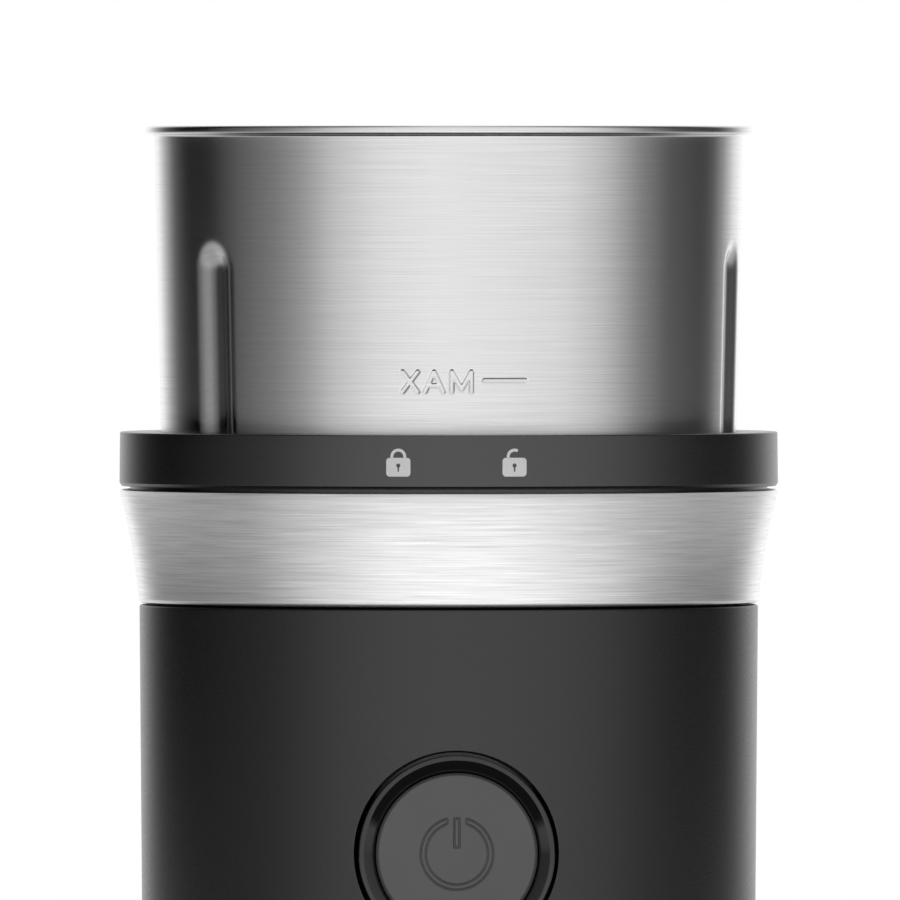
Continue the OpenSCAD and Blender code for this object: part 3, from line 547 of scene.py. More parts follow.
def cup_shape():
    """Closed shell of revolution with three pressed channels and a pressed mark.

    A profile runs from the hole in the floor along the outside, round the rim and back down the inside. Each point's
    radius is its own less the depth of the channels and of the mark at its angle and height.
    """
    s = sizes()
    foot, rim = CUP_LOW.z, CUP_HIGH.z
    mouth = CUP_HIGH.x - 1.55 * MM
    slope = s.cup_draft / (rim - RING_TOP)
    heel, hole = mouth - slope * (rim - foot), 6 * MM
    sheet, tip, edge = s.cup_sheet, mouth + s.cup_overhang, rim - s.cup_flange
    outline = filleted([
        (hole, foot, 0), (heel, foot, 6 * MM), (mouth, edge, 0.45 * MM), (tip, edge, 0.5 * MM), (tip, rim, 0.5 * MM),
        (mouth - sheet, rim, 1.4 * MM), (heel - sheet, foot + sheet, 5.2 * MM), (hole, foot + sheet, 0)], 9)
    # The straight wall is cut finely at the mark and at the channels' round tops, and less so on its inside
    mark_foot, margin = RING_TOP + 6.3 * MM, 0.8 * MM
    stops = [foot + 6 * MM, mark_foot - margin, mark_foot + s.mark_height + margin, RING_TOP + 20 * MM,
             RING_TOP + 30 * MM, rim - 2.6 * MM]
    fine = spaced(stops, [1.5 * MM, 0.13 * MM, 1.5 * MM, 0.4 * MM, 1.6 * MM])
    coarse = spaced(stops, [1.8 * MM, 0.3 * MM, 1.8 * MM, 0.8 * MM, 2 * MM])
    above_heel = outline[:, 1] > foot + 8 * MM
    split, last = int(np.argmax(above_heel)), len(outline) - int(np.argmax(above_heel[::-1]))
    outer = np.stack([mouth - slope * (rim - fine), fine], 1)
    inner = np.stack([mouth - slope * (rim - coarse) - sheet, coarse], 1)[::-1]
    profile = np.concatenate([
        np.linspace(outline[0], outline[1], 12, endpoint=False), outline[1:split], outer, outline[split:last], inner,
        outline[last:-1], np.linspace(outline[-2], outline[-1], 14)[1:]])
    angle = np.radians(spaced(
        [-180, -161, -63, -47, -11.5, 14.5, 67, 83, 180], [0.6, 1.7, 0.42, 1.7, 0.2, 1.7, 0.42, 1.7])[:-1])

    r = np.repeat(profile[:, :1], len(angle), 1)
    z = profile[:, 1:]
    wall = mouth - slope * (rim - z)
    near = 0.5
    for degrees in CHANNEL_ANGLES:
        turn = (angle - math.radians(degrees) + math.pi) % TURN - math.pi
        sunk = channel_depth(np.clip(turn, -0.6, 0.6)[None, :] * wall, z)
        r = r - sunk * (np.abs(turn) < near) * smooth_step((r - 20 * MM) / (15 * MM))
    marked = fill_mark_depth(angle[None, :] * wall, z - mark_foot) * ((r > 30 * MM) & (np.abs(angle) < near))
    points = around(r - s.mark_depth * marked, angle, z)
    return points, outward(points, grid_faces(len(profile), len(angle), True, True))


def collar_shape():
    """Collar turned about Z from a filleted outline: flat top, drafted skirt, rolled foot and a lip behind the band."""
    foot, top, lip = RING_FOOT, RING_TOP, RING_FOOT - 2.2 * MM
    outline = filleted([
        (WELL_R, top - 2.5 * MM, 0.2 * MM), (WELL_R, top, 0.35 * MM), (SKIRT_R - 0.08 * MM, top, 0.25 * MM),
        (SKIRT_R, foot + 0.5 * MM, 0.12 * MM), (SKIRT_R - 0.32 * MM, foot, 0.1 * MM), (47.4 * MM, foot, 0),
        (47.4 * MM, lip, 0.2 * MM), (46 * MM, lip, 0.2 * MM), (46 * MM, top - 2.5 * MM, 0)], 7)
    return revolved(refined(outline, 2 * MM), 320)


PRINT_FACE, PRINT_BACK = 0.03 * MM, -0.02 * MM


def on_skirt(drawing, angle, lift):
    """Points of a flat (x, height) drawing wrapped on the collar's skirt: the angle is x over the radius."""
    return around(SKIRT_R + lift, math.radians(angle) + drawing[:, 0] / RING_R, drawing[:, 1])


def printed_patch(inner, outer, angle):
    """Closed sheet between two outlines of equal count, with a face, a back and both edges, wrapped on the skirt."""
    rows = [(outer, PRINT_BACK), (outer, PRINT_FACE), (inner, PRINT_FACE), (inner, PRINT_BACK)]
    points = np.concatenate([on_skirt(line, angle, lift) for line, lift in rows])
    return points, outward(points, grid_faces(4, len(outer), True, True))


def ring_outline(turn, half_w, half_h, corner, centre):
    """Rounded rectangle seen from a centre inside it: one point at each angle.

    Each point lies where the ray from the centre meets the outline, found by halving the stretch that it is on.
    """
    ray = unit(turn)
    low, high = np.zeros(len(turn)), np.full(len(turn), 4 * (half_w + half_h))
    for _ in range(40):
        middle = (low + high) / 2
        p = np.abs(ray * middle[:, None] + centre) - np.array([half_w - corner, half_h - corner])
        gap = np.linalg.norm(np.maximum(p, 0), axis=1) + np.minimum(p.max(1), 0) - corner
        low, high = np.where(gap < 0, middle, low), np.where(gap < 0, high, middle)
    return ray * low[:, None] + centre


def padlock_shape(angle, arch_end):
    """Padlock of a keyed body and a band-shaped shackle with a leg, an arch of a circle and, if closed, a second leg.

    The shackle is a path with half its width laid off to each side; an arch that stops early gets a round end, its
    half width falling as sqrt(1 - d^2) over the last half width.
    """
    level = np.array([0, (RING_FOOT + RING_TOP) / 2])
    centre, keyhole = np.array([0.0, -0.67 * MM]), np.array([0.0, 0.24 * MM])
    turn = full_turn(72) + 0.01
    body = ring_outline(turn, 1.8 * MM, 1.38 * MM, 0.5 * MM, keyhole) + centre
    hole = 0.31 * MM * unit(turn)
    slit = (np.abs(hole[:, 0]) < 0.12 * MM) & (hole[:, 1] < 0)
    hole[:, 1] = np.where(slit, -0.9 * MM, hole[:, 1])
    patch = printed_patch(hole + centre + keyhole + level, body + level, angle)

    reach, side, low, top = 0.96 * MM, 0.22 * MM, 0.6 * MM, 0.88 * MM
    arch = reach * unit(np.linspace(math.pi, math.radians(arch_end), 40)) + [0, top]
    path = np.concatenate([[[-reach, low]], arch, [[reach, low]] if arch_end == 0 else np.empty((0, 2))])
    along = np.gradient(path, axis=0)
    normal = np.stack([-along[:, 1], along[:, 0]], 1) / np.linalg.norm(along, axis=1)[:, None]
    to_end = np.linalg.norm(path - path[-1], axis=1) if arch_end else np.full(len(path), 1.0)
    width = side * np.sqrt(np.clip(1 - (1 - np.minimum(to_end / side, 1)) ** 2, 0.02, 1))[:, None]
    loop = np.concatenate([path + normal * width, (path - normal * width)[::-1]]) + level
    total = len(loop)
    points = np.concatenate([on_skirt(loop, angle, lift) for lift in (PRINT_FACE, PRINT_BACK)])
    k = np.arange(len(path) - 1)
    face = np.stack([k, k + 1, total - 2 - k, total - 1 - k], 1)
    sheet = np.concatenate([face, face[:, ::-1] + total, grid_faces(2, total, False, True)[:, ::-1]])
    return joined([patch, (points, outward(points, sheet))])


def band_shape():
    """Flared sheet turned about Z: a hollow arc through the band's top and foot, given thickness, with rolled edges."""
    s = sizes()
    low, high = BAND_LOW.z, BAND_HIGH.z
    top_r, foot_r = RING_R, SHELL_HIGH.x + 0.05 * MM
    height, drop = high - low, top_r - foot_r
    chord = math.hypot(drop, height)
    reach = math.sqrt(s.band_curve ** 2 - chord ** 2 / 4)
    centre = np.array([(top_r + foot_r) / 2 + reach * height / chord, (low + high) / 2 - reach * drop / chord])
    start = math.atan2(low - centre[1], foot_r - centre[0]) % TURN
    end = math.atan2(high - centre[1], top_r - centre[0]) % TURN
    ray = unit(np.linspace(start, end, 28))
    outer = centre + s.band_curve * ray
    inner = centre + (s.band_curve + s.band_sheet) * ray
    roll = 0.132 * MM
    outer[0, 1] += roll
    outer[-1, 1] -= roll
    outline = np.concatenate([outer, [[(outer[-1, 0] * 2 + inner[-1, 0]) / 3, high]], inner[::-1],
                              [[(outer[0, 0] * 2 + inner[0, 0]) / 3, low]]])
    outline[:, 1] = np.clip(outline[:, 1], low, high)
    return revolved(outline, 360)


BUTTON_BLOCK = 21 * MM


def front_of(radius_at, x, z):
    """Place along Y of the front of a round skin with radius R(z): -sqrt(R(z)^2 - x^2)."""
    return -np.sqrt(radius_at(z) ** 2 - x ** 2)


def housing_skin(radius_at, hole_r, levels, columns, rows):
    """Skin of the housing with a round hole at the button.

    The skin is a grid of angle by level on radius_at(z). Around the button a block of cells is left out, and rings
    that blend from that block's edge to the hole's circle fill it, each of their points put on the skin. Returns
    points, faces and the numbers of the hole's points.
    """
    angle = full_turn(columns) - math.pi
    grid = around(radius_at(levels)[:, None], angle, levels[:, None])
    faces = grid_faces(len(levels), columns, False, True)
    inside_c = np.nonzero(np.abs(angle) <= BUTTON_BLOCK / RING_R)[0]
    inside_r = np.nonzero(np.abs(levels - BUTTON_Z) <= BUTTON_BLOCK)[0]
    c0, c1, r0, r1 = inside_c[0], inside_c[-1], inside_r[0], inside_r[-1]
    cell_r, cell_c = faces[:, 0] // columns, faces[:, 0] % columns
    faces = faces[~((cell_r >= r0) & (cell_r < r1) & (cell_c >= c0) & (cell_c < c1))]
    border = np.concatenate([
        r0 * columns + np.arange(c0, c1), np.arange(r0, r1) * columns + c1,
        r1 * columns + np.arange(c1, c0, -1), np.arange(r1, r0, -1) * columns + c0])
    edge = grid[border]
    turn = np.arctan2(edge[:, 2] - BUTTON_Z, edge[:, 0])
    circle = hole_r * unit(turn) + [0, BUTTON_Z]
    ways = smooth_step(np.linspace(0, 1, rows + 1)[1:] ** 0.9)[:, None, None]
    flat = edge[None, :, ::2] * (1 - ways) + circle[None] * ways
    x, z = flat[..., 0], flat[..., 1]
    rings = np.stack([x, front_of(radius_at, x, z), z], -1).reshape(-1, 3)
    numbers = np.concatenate([border, len(grid) + np.arange(len(rings))])
    patch = numbers[grid_faces(rows + 1, len(border), False, True)]
    return np.concatenate([grid, rings]), np.concatenate([faces, patch]), numbers[-len(border):]


def housing_shape():
    """Housing as one closed shell: an outer skin, a neck, an inner skin and a stepped round opening at the button."""
    s = sizes()
    low, step = SHELL_LOW.z, BAND_LOW.z - 0.3 * MM
    neck_top, neck_r = SHELL_HIGH.z, 44.9 * MM
    top_r = SHELL_HIGH.x
    foot_r = top_r - s.housing_taper
    foot_round, top_round = 0.5 * MM, 0.4 * MM
    inner_r = top_r - s.housing_wall - top_round

    def outer_radius(z):
        """Straight taper, rounded in by a quarter circle at the foot and at the shoulder."""
        radius = foot_r + (top_r - foot_r) * (z - low) / (step - low)
        for away, round_in in ((z - low, foot_round), (step - z, top_round)):
            radius = radius - round_in * (1 - np.sqrt(1 - np.clip(1 - away / round_in, 0, 1) ** 2))
        return radius

    def inner_radius(z):
        return inner_r + 0 * z

    columns = 240
    ceiling = step - 5.7 * MM
    quarter = np.linspace(0, math.pi / 2, 5)
    inner_levels = np.concatenate([
        low + foot_round * (1 - np.cos(quarter)), np.linspace(low + 1.5 * MM, ceiling, 76)])
    levels = np.concatenate([
        inner_levels, np.linspace(ceiling, step - 1.2 * MM, 5)[1:], step - top_round * np.cos(quarter)])
    outer, outer_faces, outer_hole = housing_skin(outer_radius, 15.2 * MM, levels, columns, 10)
    inner, inner_faces, inner_hole = housing_skin(inner_radius, 14.3 * MM, inner_levels, columns, 10)
    mouth_r, shelf = 38.8 * MM, ceiling + 3.7 * MM
    neck = np.array([
        (neck_r + 0.1 * MM, step), (neck_r, step + 0.1 * MM), (neck_r, neck_top), (WELL_R, neck_top),
        (WELL_R, shelf), (mouth_r, shelf), (mouth_r, ceiling + 2 * MM)])
    start_inner = len(outer)
    start_neck = start_inner + len(inner)
    neck_points = around(neck[:, :1], full_turn(columns) - math.pi, neck[:, 1:])
    points = np.concatenate([outer, inner, neck_points])
    faces = [outer_faces, inner_faces[:, ::-1] + start_inner]

    def strip(first, second):
        """Quads between two closed loops of equal count."""
        return np.stack([first, np.roll(first, -1), np.roll(second, -1), second], 1)

    ring = np.arange(columns)
    chain = [(len(levels) - 1) * columns + ring]
    chain += [start_neck + k * columns + ring for k in range(len(neck))]
    chain += [start_inner + (len(inner_levels) - 1) * columns + ring]
    faces += [strip(a, b) for a, b in zip(chain[:-1], chain[1:])]
    faces.append(strip(start_inner + ring, ring))

    rim = outer[outer_hole]
    turn = np.arctan2(rim[:, 2] - BUTTON_Z, rim[:, 0])
    # Loops down the opening's wall, by radius and depth in mm: first from the skin, then from the button's flat face
    loops = [outer_hole]
    for radius, depth, on_skin in ((15.09, 0.06, True), (15.03, 0.25, True), (15.0, 0.6, True),
                                   (15.0, 2.1, False), (14.3, 5.0, False)):
        x, z = (radius * MM * unit(turn) + [0, BUTTON_Z]).T
        start = front_of(outer_radius, x, z) if on_skin else CAP_LOW.y + 0 * x
        loops.append(len(points) + np.arange(len(turn)))
        points = np.concatenate([points, np.stack([x, start + depth * MM, z], 1)])
    loops.append(inner_hole + start_inner)
    faces += [strip(a, b) for a, b in zip(loops[:-1], loops[1:])]
    return points, outward(points, np.concatenate(faces))


def bezel_shape():
    """Gloss ring turned about the button's axis: a sleeve, a rounded outer edge and a slope down to the cap."""
    face, bore = -BEZEL_LOW.y, CAP_HIGH.x + 0.15 * MM
    back, shelf = -BEZEL_HIGH.y, -CAP_LOW.y - 4.1 * MM
    sleeve, rim = 14.2 * MM, 14.45 * MM
    return facing_front(revolved(filleted([
        (bore, back, 0), (sleeve, back, 0), (sleeve, shelf, 0), (rim, shelf, 0),
        (rim, face - 0.05 * MM, 0.25 * MM), (rim - 0.7 * MM, face, 0.3 * MM),
        (bore + 0.05 * MM, face - 1.15 * MM, 0.15 * MM), (bore, face - 1.5 * MM, 0.1 * MM)], 9)))


SIGN_DEPTH = 0.2 * MM


def sign_depth(x, y):
    """Depth of the power sign's engraved outline: thin grooves along the edges of a broken ring and of a bar."""
    from_centre = np.hypot(x, y)
    gap = 1.05 * MM
    middle, half = 4.95 * MM, 0.37 * MM
    ring = np.abs(np.abs(from_centre - middle) - half)
    in_gap = (np.abs(x) < gap + half) & (y > 0)
    end = np.abs(np.abs(x) - gap - half)
    ends = np.where((np.abs(from_centre - middle) <= half) & (y > 0), end, np.inf)
    ring = np.where(in_gap, np.inf, ring)
    low, high = 0.9 * MM, 5.15 * MM
    bx, by = np.abs(x) - half, np.abs(y - (low + high) / 2) - (high - low) / 2
    bar = np.abs(np.hypot(np.maximum(bx, 0), np.maximum(by, 0)) + np.minimum(np.maximum(bx, by), 0))
    away = np.minimum(np.minimum(ring, ends), bar)
    line = sizes().sign_line
    return smooth_step((line * 0.85 - away) / (line * 0.7))


def cap_shape():
    """Push button turned about its own axis, its face sunk along the engraved sign's lines.

    The face is a polar grid, fine where the sign is, and the outline goes on round the bevel, the skirt and the back.
    """
    face, edge = -CAP_LOW.y, CAP_HIGH.x
    rings = spaced([0.05 * MM, 5.6 * MM, edge - 0.75 * MM], [0.085 * MM, 0.7 * MM])
    skirt, back, hollow, stem = face - 5.6 * MM, face - 9.7 * MM, face - 2 * MM, 2.5 * MM
    bevel = filleted([
        (0, face, 0), (edge - 0.42 * MM, face, 0.2 * MM), (edge, face - 0.4 * MM, 0.25 * MM), (edge, skirt, 0.1 * MM),
        (edge - 1.6 * MM, skirt, 0.1 * MM), (edge - 1.6 * MM, hollow, 0.3 * MM), (stem, hollow, 0.3 * MM),
        (stem, back, 0.2 * MM), (0, back, 0)])[1:-1]
    top = np.stack([rings, np.full(len(rings), face)], 1)
    outline = np.concatenate([[[0, face]], top, bevel, [[0, back]]])
    points, faces = capped(outline, 360)
    on_face = points[:, 2] > face - 0.01 * MM
    points[:, 2] -= np.where(on_face, SIGN_DEPTH * sign_depth(points[:, 0], points[:, 1]), 0)
    return facing_front((points, faces))


def blade_shape():
    """Two-winged blade lofted along X: a flat section whose width narrows to the tips and whose arms turn up or down.

    At each station the section is a closed loop of eight points, thinned at the leading edge to a ground bevel.
    """
    low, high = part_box("grinding_blade")
    half = (high.x - low.x) / 2 - 0.3 * MM
    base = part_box("blade_nut")[0].z - 1.5 * MM
    t = np.linspace(-1, 1, 61)
    x = t * half
    away = np.abs(t)
    front = -6 * MM * (1 - 0.55 * smooth_step((away - 0.55) / 0.5))
    back = 6 * MM * (1 - 0.75 * smooth_step((away - 0.1) / 0.9))
    bend = smooth_step((away - 0.66) / 0.12) * (away - 0.66) * half
    rise = np.where(t > 0, bend * 0.5, -bend * 0.1)
    thick = 1.5 * MM
    lead = np.where(t > 0, front, -front)
    tail = np.where(t > 0, back, -back)
    spots = [(0.0, 0.62), (0.02, 0.35), (0.22, 0.0), (0.97, 0.0), (1.0, 0.08), (1.0, 0.92), (0.97, 1.0), (0.22, 1.0)]
    loop = [np.stack([x, lead + (tail - lead) * u, base + rise + thick * v], 1) for u, v in spots]
    points = np.stack(loop, 1).reshape(-1, 3)
    faces = grid_faces(len(t), 8, False, True)
    ends = np.array([[0, 1, 2, 7], [2, 3, 6, 7], [3, 4, 5, 6]])
    faces = np.concatenate([faces, ends[:, ::-1], ends + (len(t) - 1) * 8])
    return points, outward(points, faces)


def nut_shape():
    """Dome nut: a hexagon by r = flat / cos(angle to its nearest flat), blended up into a round dome."""
    low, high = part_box("blade_nut")
    outline = [(3.0, 0.0, 1), (4.45, 0.0, 1), (4.6, 0.25, 1), (4.6, 2.9, 1), (4.4, 3.3, 0.6), (4.1, 3.6, 0)]
    dome = [(4.1 * math.cos(a), 3.6 + 3.2 * math.sin(a), 0) for a in np.linspace(0.12, math.pi / 2, 12)[:-1]]
    rows = np.array([(0.0, 0.0, 1)] + outline + dome + [(0.0, 6.8, 0)])
    columns = 96
    points, faces = capped(rows[:, :2] * MM, columns)
    flat = 1 / np.cos((full_turn(columns) + math.pi / 6) % (math.pi / 3) - math.pi / 6)
    factor = 1 + (flat - 1)[None, :] * rows[1:-1, 2][:, None] * 0.86
    points[:-2, :2] *= factor.reshape(-1, 1)
    points[:, 2] = np.minimum(points[:, 2] + low.z, high.z)
    return points, faces


def repeated(shape, places):
    """Copies of a shape moved to each (x, y, z) place."""
    points, faces = shape
    return joined([(points + np.array(place), faces) for place in places])


def circle_places(radius, degrees, z=0.0):
    return [(radius * math.cos(math.radians(a)), radius * math.sin(math.radians(a)), z) for a in degrees]


# ---------------------------------------------------------------- operators


class GRINDER_OT_cup(bpy.types.Operator):
    """Build the drawn steel cup with its channels and fill mark"""

    bl_idname = "grinder.cup"
    bl_label = "Cup"
    bl_options = {"REGISTER", "UNDO"}

    def execute(self, context):
        make_piece("drawn_cup", cup_shape(), "brushed_cup_steel", "cup", ["cup_shell"])
        return {"FINISHED"}


class GRINDER_OT_cup_fittings(bpy.types.Operator):
    """Build the blade, its nut, the seal and the rivet heads in the cup"""

    bl_idname = "grinder.cup_fittings"
    bl_label = "Blade and fittings"
    bl_options = {"REGISTER", "UNDO"}

    def execute(self, context):
        make_piece("winged_blade", blade_shape(), "ground_blade_steel", "blade_rotor",
                   ["grinding_blade"])
        make_piece("dome_nut", nut_shape(), "turned_steel", "blade_rotor", ["blade_nut"])
        low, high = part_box("shaft_seal")
        lip = filleted([(3.1 * MM, low.z, 0), (6 * MM, low.z, 0.2 * MM), (5.8 * MM, high.z - 0.9 * MM, 0.5 * MM),
                        (3.9 * MM, high.z, 0.3 * MM), (3.1 * MM, high.z - 0.2 * MM, 0.1 * MM)])
        make_piece("lip_seal", revolved(lip, 96), "moulded_rubber", "cup", ["shaft_seal"])
        low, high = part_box("cup_screws")
        floor, stem = CUP_LOW.z + 0.8 * MM, low.z
        rivet = capped(np.concatenate([
            [[0, stem], [2.8 * MM, stem], [2.8 * MM, stem + 1.3 * MM], [1.4 * MM, stem + 1.4 * MM],
             [1.4 * MM, floor], [2.55 * MM, floor]],
            [(2.6 * MM * math.cos(a), floor + 0.2 * MM + (high.z - floor - 0.2 * MM) * math.sin(a))
             for a in np.linspace(0, math.pi / 2, 8)[:-1]],
            [[0, high.z]]]), 48)
        make_piece("cup_rivets", repeated(rivet, circle_places(20 * MM, (30, 150, 270))),
                   "zinc_plated_steel", "cup", ["cup_screws"])
        return {"FINISHED"}


class GRINDER_OT_collar(bpy.types.Operator):
    """Build the black collar and its two printed padlocks"""

    bl_idname = "grinder.collar"
    bl_label = "Collar"
    bl_options = {"REGISTER", "UNDO"}

    def execute(self, context):
        make_piece("collar", collar_shape(), "satin_abs", "base", ["top_ring"], 50)
        ink = "pad_printed_ink"
        make_piece("padlock_closed", padlock_shape(-10.2, 0), ink, "base", ["lock_mark"])
        make_piece("padlock_open", padlock_shape(9.9, 58), ink, "base", ["unlock_mark"])
        return {"FINISHED"}


class GRINDER_OT_band(bpy.types.Operator):
    """Build the flared brushed band"""

    bl_idname = "grinder.band"
    bl_label = "Steel band"
    bl_options = {"REGISTER", "UNDO"}

    def execute(self, context):
        make_piece("flared_band", band_shape(), "brushed_band_steel", "base", ["steel_band"],
                   60)
        return {"FINISHED"}


class GRINDER_OT_housing(bpy.types.Operator):
    """Build the textured housing with its opening for the button"""

    bl_idname = "grinder.housing"
    bl_label = "Housing"
    bl_options = {"REGISTER", "UNDO"}

    def execute(self, context):
        make_piece("housing", housing_shape(), "spark_textured_abs", "base", ["body_shell"],
                   50)
        return {"FINISHED"}


class GRINDER_OT_button(bpy.types.Operator):
    """Build the gloss bezel and the engraved push button"""

    bl_idname = "grinder.button"
    bl_label = "Push button"
    bl_options = {"REGISTER", "UNDO"}

    def execute(self, context):
        make_piece("bezel", bezel_shape(), "gloss_abs", "base", ["button_bezel"], 50)
        make_piece("push_cap", cap_shape(), "satin_painted_abs", "button",
                   ["button_cap", "power_symbol"], 60)
        return {"FINISHED"}


class GRINDER_OT_underside(bpy.types.Operator):
    """Build the rubber feet and the bush that lines the cord's hole"""

    bl_idname = "grinder.underside"
    bl_label = "Feet and cord hole"
    bl_options = {"REGISTER", "UNDO"}

    def execute(self, context):
        low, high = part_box("rubber_feet")
        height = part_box("bottom_cover")[0].z
        foot = capped(np.concatenate([
            [[0, 0.35 * MM]], filleted([
                (3.4 * MM, 0.35 * MM, 0.1 * MM), (3.8 * MM, 0, 0.3 * MM), (5.5 * MM, 0, 0.7 * MM),
                (6.2 * MM, height, 0.2 * MM), (2 * MM, height, 0), (2 * MM, high.z - 1.2 * MM, 0),
                (2.7 * MM, high.z - 1.2 * MM, 0.1 * MM), (2.2 * MM, high.z, 0.3 * MM)], 5),
            [[0, high.z]]]), 64)
        make_piece("soft_feet", repeated(foot, circle_places(34 * MM, (0, 90, 180, 270))),
                   "moulded_rubber", "base", ["rubber_feet"])
        low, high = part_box("cord_inlet")
        middle = (low.z + high.z) / 2
        bush = revolved(filleted([
            (3.6 * MM, low.y, 0.4 * MM), (6.6 * MM, low.y, 0.3 * MM), (6.6 * MM, low.y + 1.5 * MM, 0.2 * MM),
            (5.4 * MM, low.y + 1.5 * MM, 0), (5.4 * MM, high.y - 1.7 * MM, 0), (7 * MM, high.y - 1.7 * MM, 0.1 * MM),
            (6.8 * MM, high.y, 0.7 * MM), (3.6 * MM, high.y, 0.8 * MM)], 7), 96)
        points = np.stack([bush[0][:, 0], bush[0][:, 2], -bush[0][:, 1] + middle], 1)
        make_piece("cord_bush", (points, outward(points, bush[1])), "glass_filled_nylon", "base",
                   ["cord_inlet"])
        return {"FINISHED"}


class GRINDER_OT_carried_over(bpy.types.Operator):
    """Give every CAD node that stays in view its own finish"""

    bl_idname = "grinder.carried_over"
    bl_label = "Inner parts"
    bl_options = {"REGISTER", "UNDO"}

    def execute(self, context):
        for finish, nodes in CARRIED_OVER.items():
            for name in nodes:
                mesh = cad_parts[name].data
                mesh.materials.clear()
                mesh.materials.append(finish_of(finish))
        return {"FINISHED"}


class GRINDER_OT_stage(bpy.types.Operator):
    """Build the pale floor, the light tent, the lamps and the camera"""

    bl_idname = "grinder.stage"
    bl_label = "Stage"
    bl_options = {"REGISTER", "UNDO"}

    def execute(self, context):
        build_floor()
        build_tent()
        build_floor_card()
        build_lights()
        build_camera()
        return {"FINISHED"}


# Light that the tent's wall gives at each angle from the front, left to right in degrees
TENT_WALL = (
    (-180, 1.2), (-158, 1.15), (-145, 0.5), (-136, 0.12), (-124, 0.0), (-106, 0.0), (-88, 0.13), (-70, 0.27),
    (-58, 0.46), (-46, 0.84), (-28, 1.15), (-6, 1.26), (20, 1.2), (43, 1.14), (60, 0.84), (77, 0.32), (92, 0.1),
    (115, 0.05), (124, 0.12), (135, 0.5), (146, 1.05), (160, 1.2), (180, 1.2),
)
# The same for the lit floor that the flared band mirrors
TENT_FLOOR = (
    (-180, 1.1), (-150, 0.95), (-132, 0.72), (-114, 0.6), (-100, 0.53), (-75, 0.58), (-52, 0.98), (-20, 1.55),
    (0, 1.68), (20, 1.6), (45, 1.15), (70, 0.76), (98, 0.58), (120, 0.62), (140, 0.8), (180, 1.1),
)
TENT_CEILING = 1.6
ROOM_LIGHT = 0.35
OVERHEAD_WATTS = 7.0


FLOOR_R, TENT_R = 1.4, 0.62


def build_floor():
    """Round pale floor: rings of points about a middle point."""
    rings, columns = 40, 96
    points = around(np.linspace(0.02, FLOOR_R, rings)[:, None], full_turn(columns), 0)
    even = np.arange(0, columns, 2)
    fan = np.stack([np.full(len(even), len(points)), even, even + 1, (even + 2) % columns], 1)
    faces = np.concatenate([grid_faces(rings, columns, False, True), fan])
    finish, tree, shader, place = new_finish("pale_floor_paint")
    tinted(tree, shader, noise(tree, place, 0.2), "f4f4f4", "fafafa")
    fill(tree, shader, {"Roughness": 0.7})
    new_object("floor", (np.concatenate([points, [[0, 0, 0]]]), faces), finish)


def light_card(name, cloth, radius, height, light_of):
    """Rings of light that only reflections see; light_of(tree, place) gives the card's colour and strength."""
    columns = 96
    material = bpy.data.materials.new(cloth)
    tree = emptied(material)
    colour, strength = light_of(tree, add(tree, "ShaderNodeTexCoord").outputs["Object"])
    glow = add(tree, "ShaderNodeEmission", {"Color": colour, "Strength": strength})
    add(tree, "ShaderNodeOutputMaterial", {"Surface": glow.outputs[0]})
    points = around(radius[:, None], full_turn(columns), height[:, None])
    card = new_object(name, (points, grid_faces(len(radius), columns, False, True)), material)
    for kind in ("visible_camera", "visible_diffuse", "visible_shadow", "visible_transmission"):
        setattr(card, kind, False)


def angle_ramp(tree, place, wall):
    """Light by angle from the front, atan2(x, -y), through a ramp of (degrees, light) stops, at half its strength."""
    split = add(tree, "ShaderNodeSeparateXYZ", {"Vector": place}).outputs
    turn = calc(tree, "ARCTAN2", split["X"], calc(tree, "MULTIPLY", split["Y"], -1.0))
    ramp = add(tree, "ShaderNodeValToRGB", {"Fac": spread(tree, turn, 0.0, 1.0, -math.pi, math.pi)})
    stops = ramp.color_ramp.elements
    for degrees, light in wall[1:-1]:
        stops.new((degrees + 180) / 360).color = (light / 2, light / 2, light / 2, 1)
    for stop, (degrees, light) in ((stops[0], wall[0]), (stops[len(stops) - 1], wall[-1])):
        stop.color = (light / 2, light / 2, light / 2, 1)
    return ramp.outputs[0]


def build_floor_card():
    """Ring of light just over the floor that the flared band mirrors, black near the object."""
    def light_of(tree, place):
        return angle_ramp(tree, place, TENT_FLOOR), spread(tree, from_axis(tree, place), 0.0, 2.0, 0.18, 0.24)

    radius = np.linspace(0.05, TENT_R - 0.01, 45)
    light_card("floor_card", "lit_floor_cloth", radius, np.full(len(radius), 0.0006), light_of)


def build_tent():
    """Round wall of soft light around the object, bright in front and behind, with dark panels at both sides.

    Its light follows the angle from the front. Its lowest 45 mm turn into the light of the floor card, and from 0.55
    m up it dims a little toward its ceiling.
    """
    def light_of(tree, place):
        height = add(tree, "ShaderNodeSeparateXYZ", {"Vector": place}).outputs["Z"]
        rise = spread(tree, height, 0.0, 1.0, 0.01, 0.045)
        ramps = [angle_ramp(tree, place, stops) for stops in (TENT_FLOOR, TENT_WALL)]
        light = add(tree, "ShaderNodeMix", {0: rise, 6: ramps[0], 7: ramps[1]}, data_type="RGBA")
        return light.outputs[2], spread(tree, height, 2.0, TENT_CEILING, 0.55, 0.95)

    height = np.array([0.002, 0.1, 0.3, 0.5, 0.75, 0.95, 0.96])
    light_card("light_tent", "lit_tent_cloth", np.append(np.full(6, TENT_R), 0.01), height, light_of)


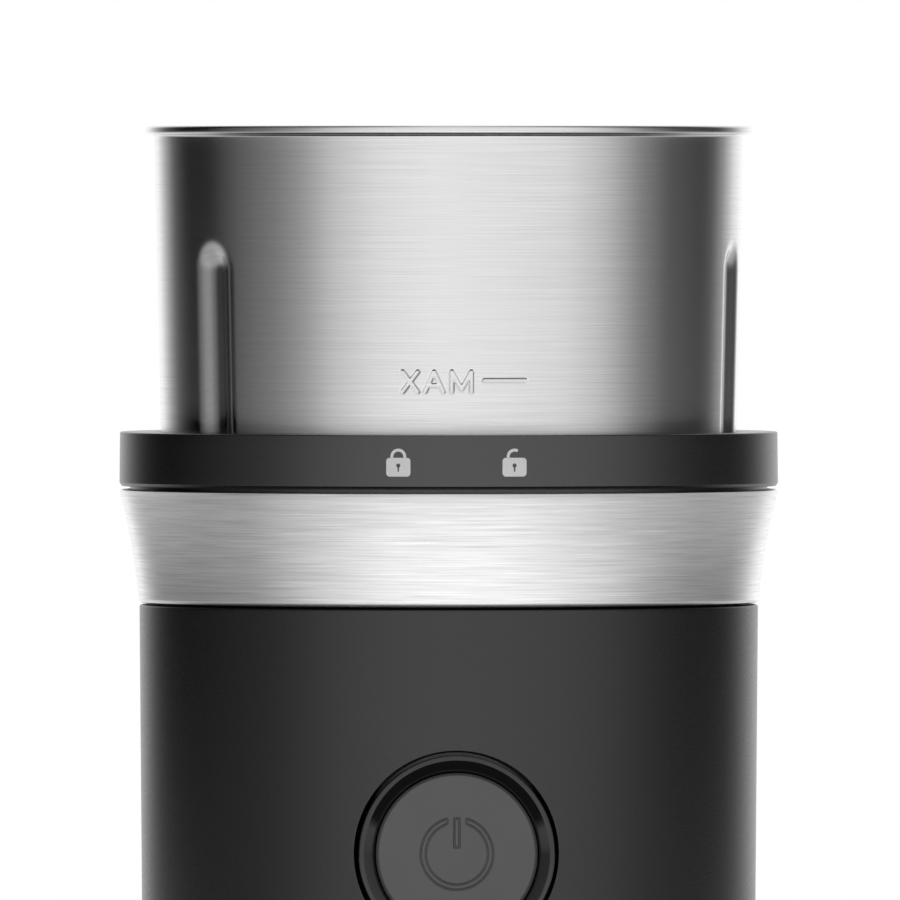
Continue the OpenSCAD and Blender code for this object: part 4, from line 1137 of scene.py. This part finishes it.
def build_lights():
    """Surroundings that are white behind the object and softer as a light, and one large soft lamp overhead."""
    world = bpy.data.worlds.new("white_room")
    tree = emptied(world)
    seen = add(tree, "ShaderNodeLightPath").outputs["Is Camera Ray"]
    strength = spread(tree, seen, ROOM_LIGHT, 1.0, 0.0, 1.0)
    room = add(tree, "ShaderNodeBackground", {"Color": (1, 1, 1, 1), "Strength": strength})
    add(tree, "ShaderNodeOutputWorld", {"Surface": room.outputs[0]})
    bpy.context.scene.world = world
    lamp = bpy.data.lights.new("overhead_softbox", "AREA")
    lamp.shape = "DISK"
    lamp.size = 0.9
    lamp.energy = OVERHEAD_WATTS
    softbox = bpy.data.objects.new("overhead_softbox", lamp)
    softbox.location = (0, 0, 1.2)
    softbox.visible_glossy = False
    bpy.context.scene.collection.objects.link(softbox)


def build_camera():
    """Long lens, level with the rim and turned a little to the left of the button, framing the upper part."""
    view = bpy.data.cameras.new("front_view")
    distance, shown, film = 4.0, 133.85 * MM, 36.0
    view.sensor_width = film
    view.lens = film * distance / shown
    view.clip_end = 50.0
    camera = bpy.data.objects.new("front_view", view)
    azimuth = math.radians(-1.5)
    target_z = RING_TOP - 2.75 * MM
    height = CUP_HIGH.z
    side = 0.19 * MM
    camera.location = (math.sin(azimuth) * distance + side, -math.cos(azimuth) * distance, height)
    camera.rotation_euler = (math.pi / 2 - math.atan2(height - target_z, distance), 0, azimuth)
    bpy.context.scene.collection.objects.link(camera)
    bpy.context.scene.camera = camera
    bpy.context.scene.view_settings.view_transform = "Standard"


class GRINDER_PT_panel(bpy.types.Panel):
    """Sidebar list of the grinder's pieces"""

    bl_label = "Grinder"
    bl_idname = "GRINDER_PT_panel"
    bl_space_type = "VIEW_3D"
    bl_region_type = "UI"
    bl_category = "Grinder"

    def draw(self, context):
        for operator in OPERATORS:
            self.layout.operator(operator.bl_idname)
        for settings in (context.scene.grinder_sizes, context.scene.grinder_colours):
            for name in settings.__annotations__:
                self.layout.prop(settings, name)


OPERATORS = (
    GRINDER_OT_cup, GRINDER_OT_cup_fittings, GRINDER_OT_collar, GRINDER_OT_band, GRINDER_OT_housing,
    GRINDER_OT_button, GRINDER_OT_underside, GRINDER_OT_carried_over, GRINDER_OT_stage,
)
CLASSES = (GrinderSizes, GrinderColours, *OPERATORS, GRINDER_PT_panel)


def register():
    for cls in CLASSES:
        bpy.utils.register_class(cls)
    bpy.types.Scene.grinder_sizes = bpy.props.PointerProperty(type=GrinderSizes)
    bpy.types.Scene.grinder_colours = bpy.props.PointerProperty(type=GrinderColours)


def unregister():
    del bpy.types.Scene.grinder_colours
    del bpy.types.Scene.grinder_sizes
    for cls in reversed(CLASSES):
        bpy.utils.unregister_class(cls)


def main():
    register()
    for operator in OPERATORS:
        group, name = operator.bl_idname.split(".")
        getattr(getattr(bpy.ops, group), name)()


if __name__ == "__main__":
    main()
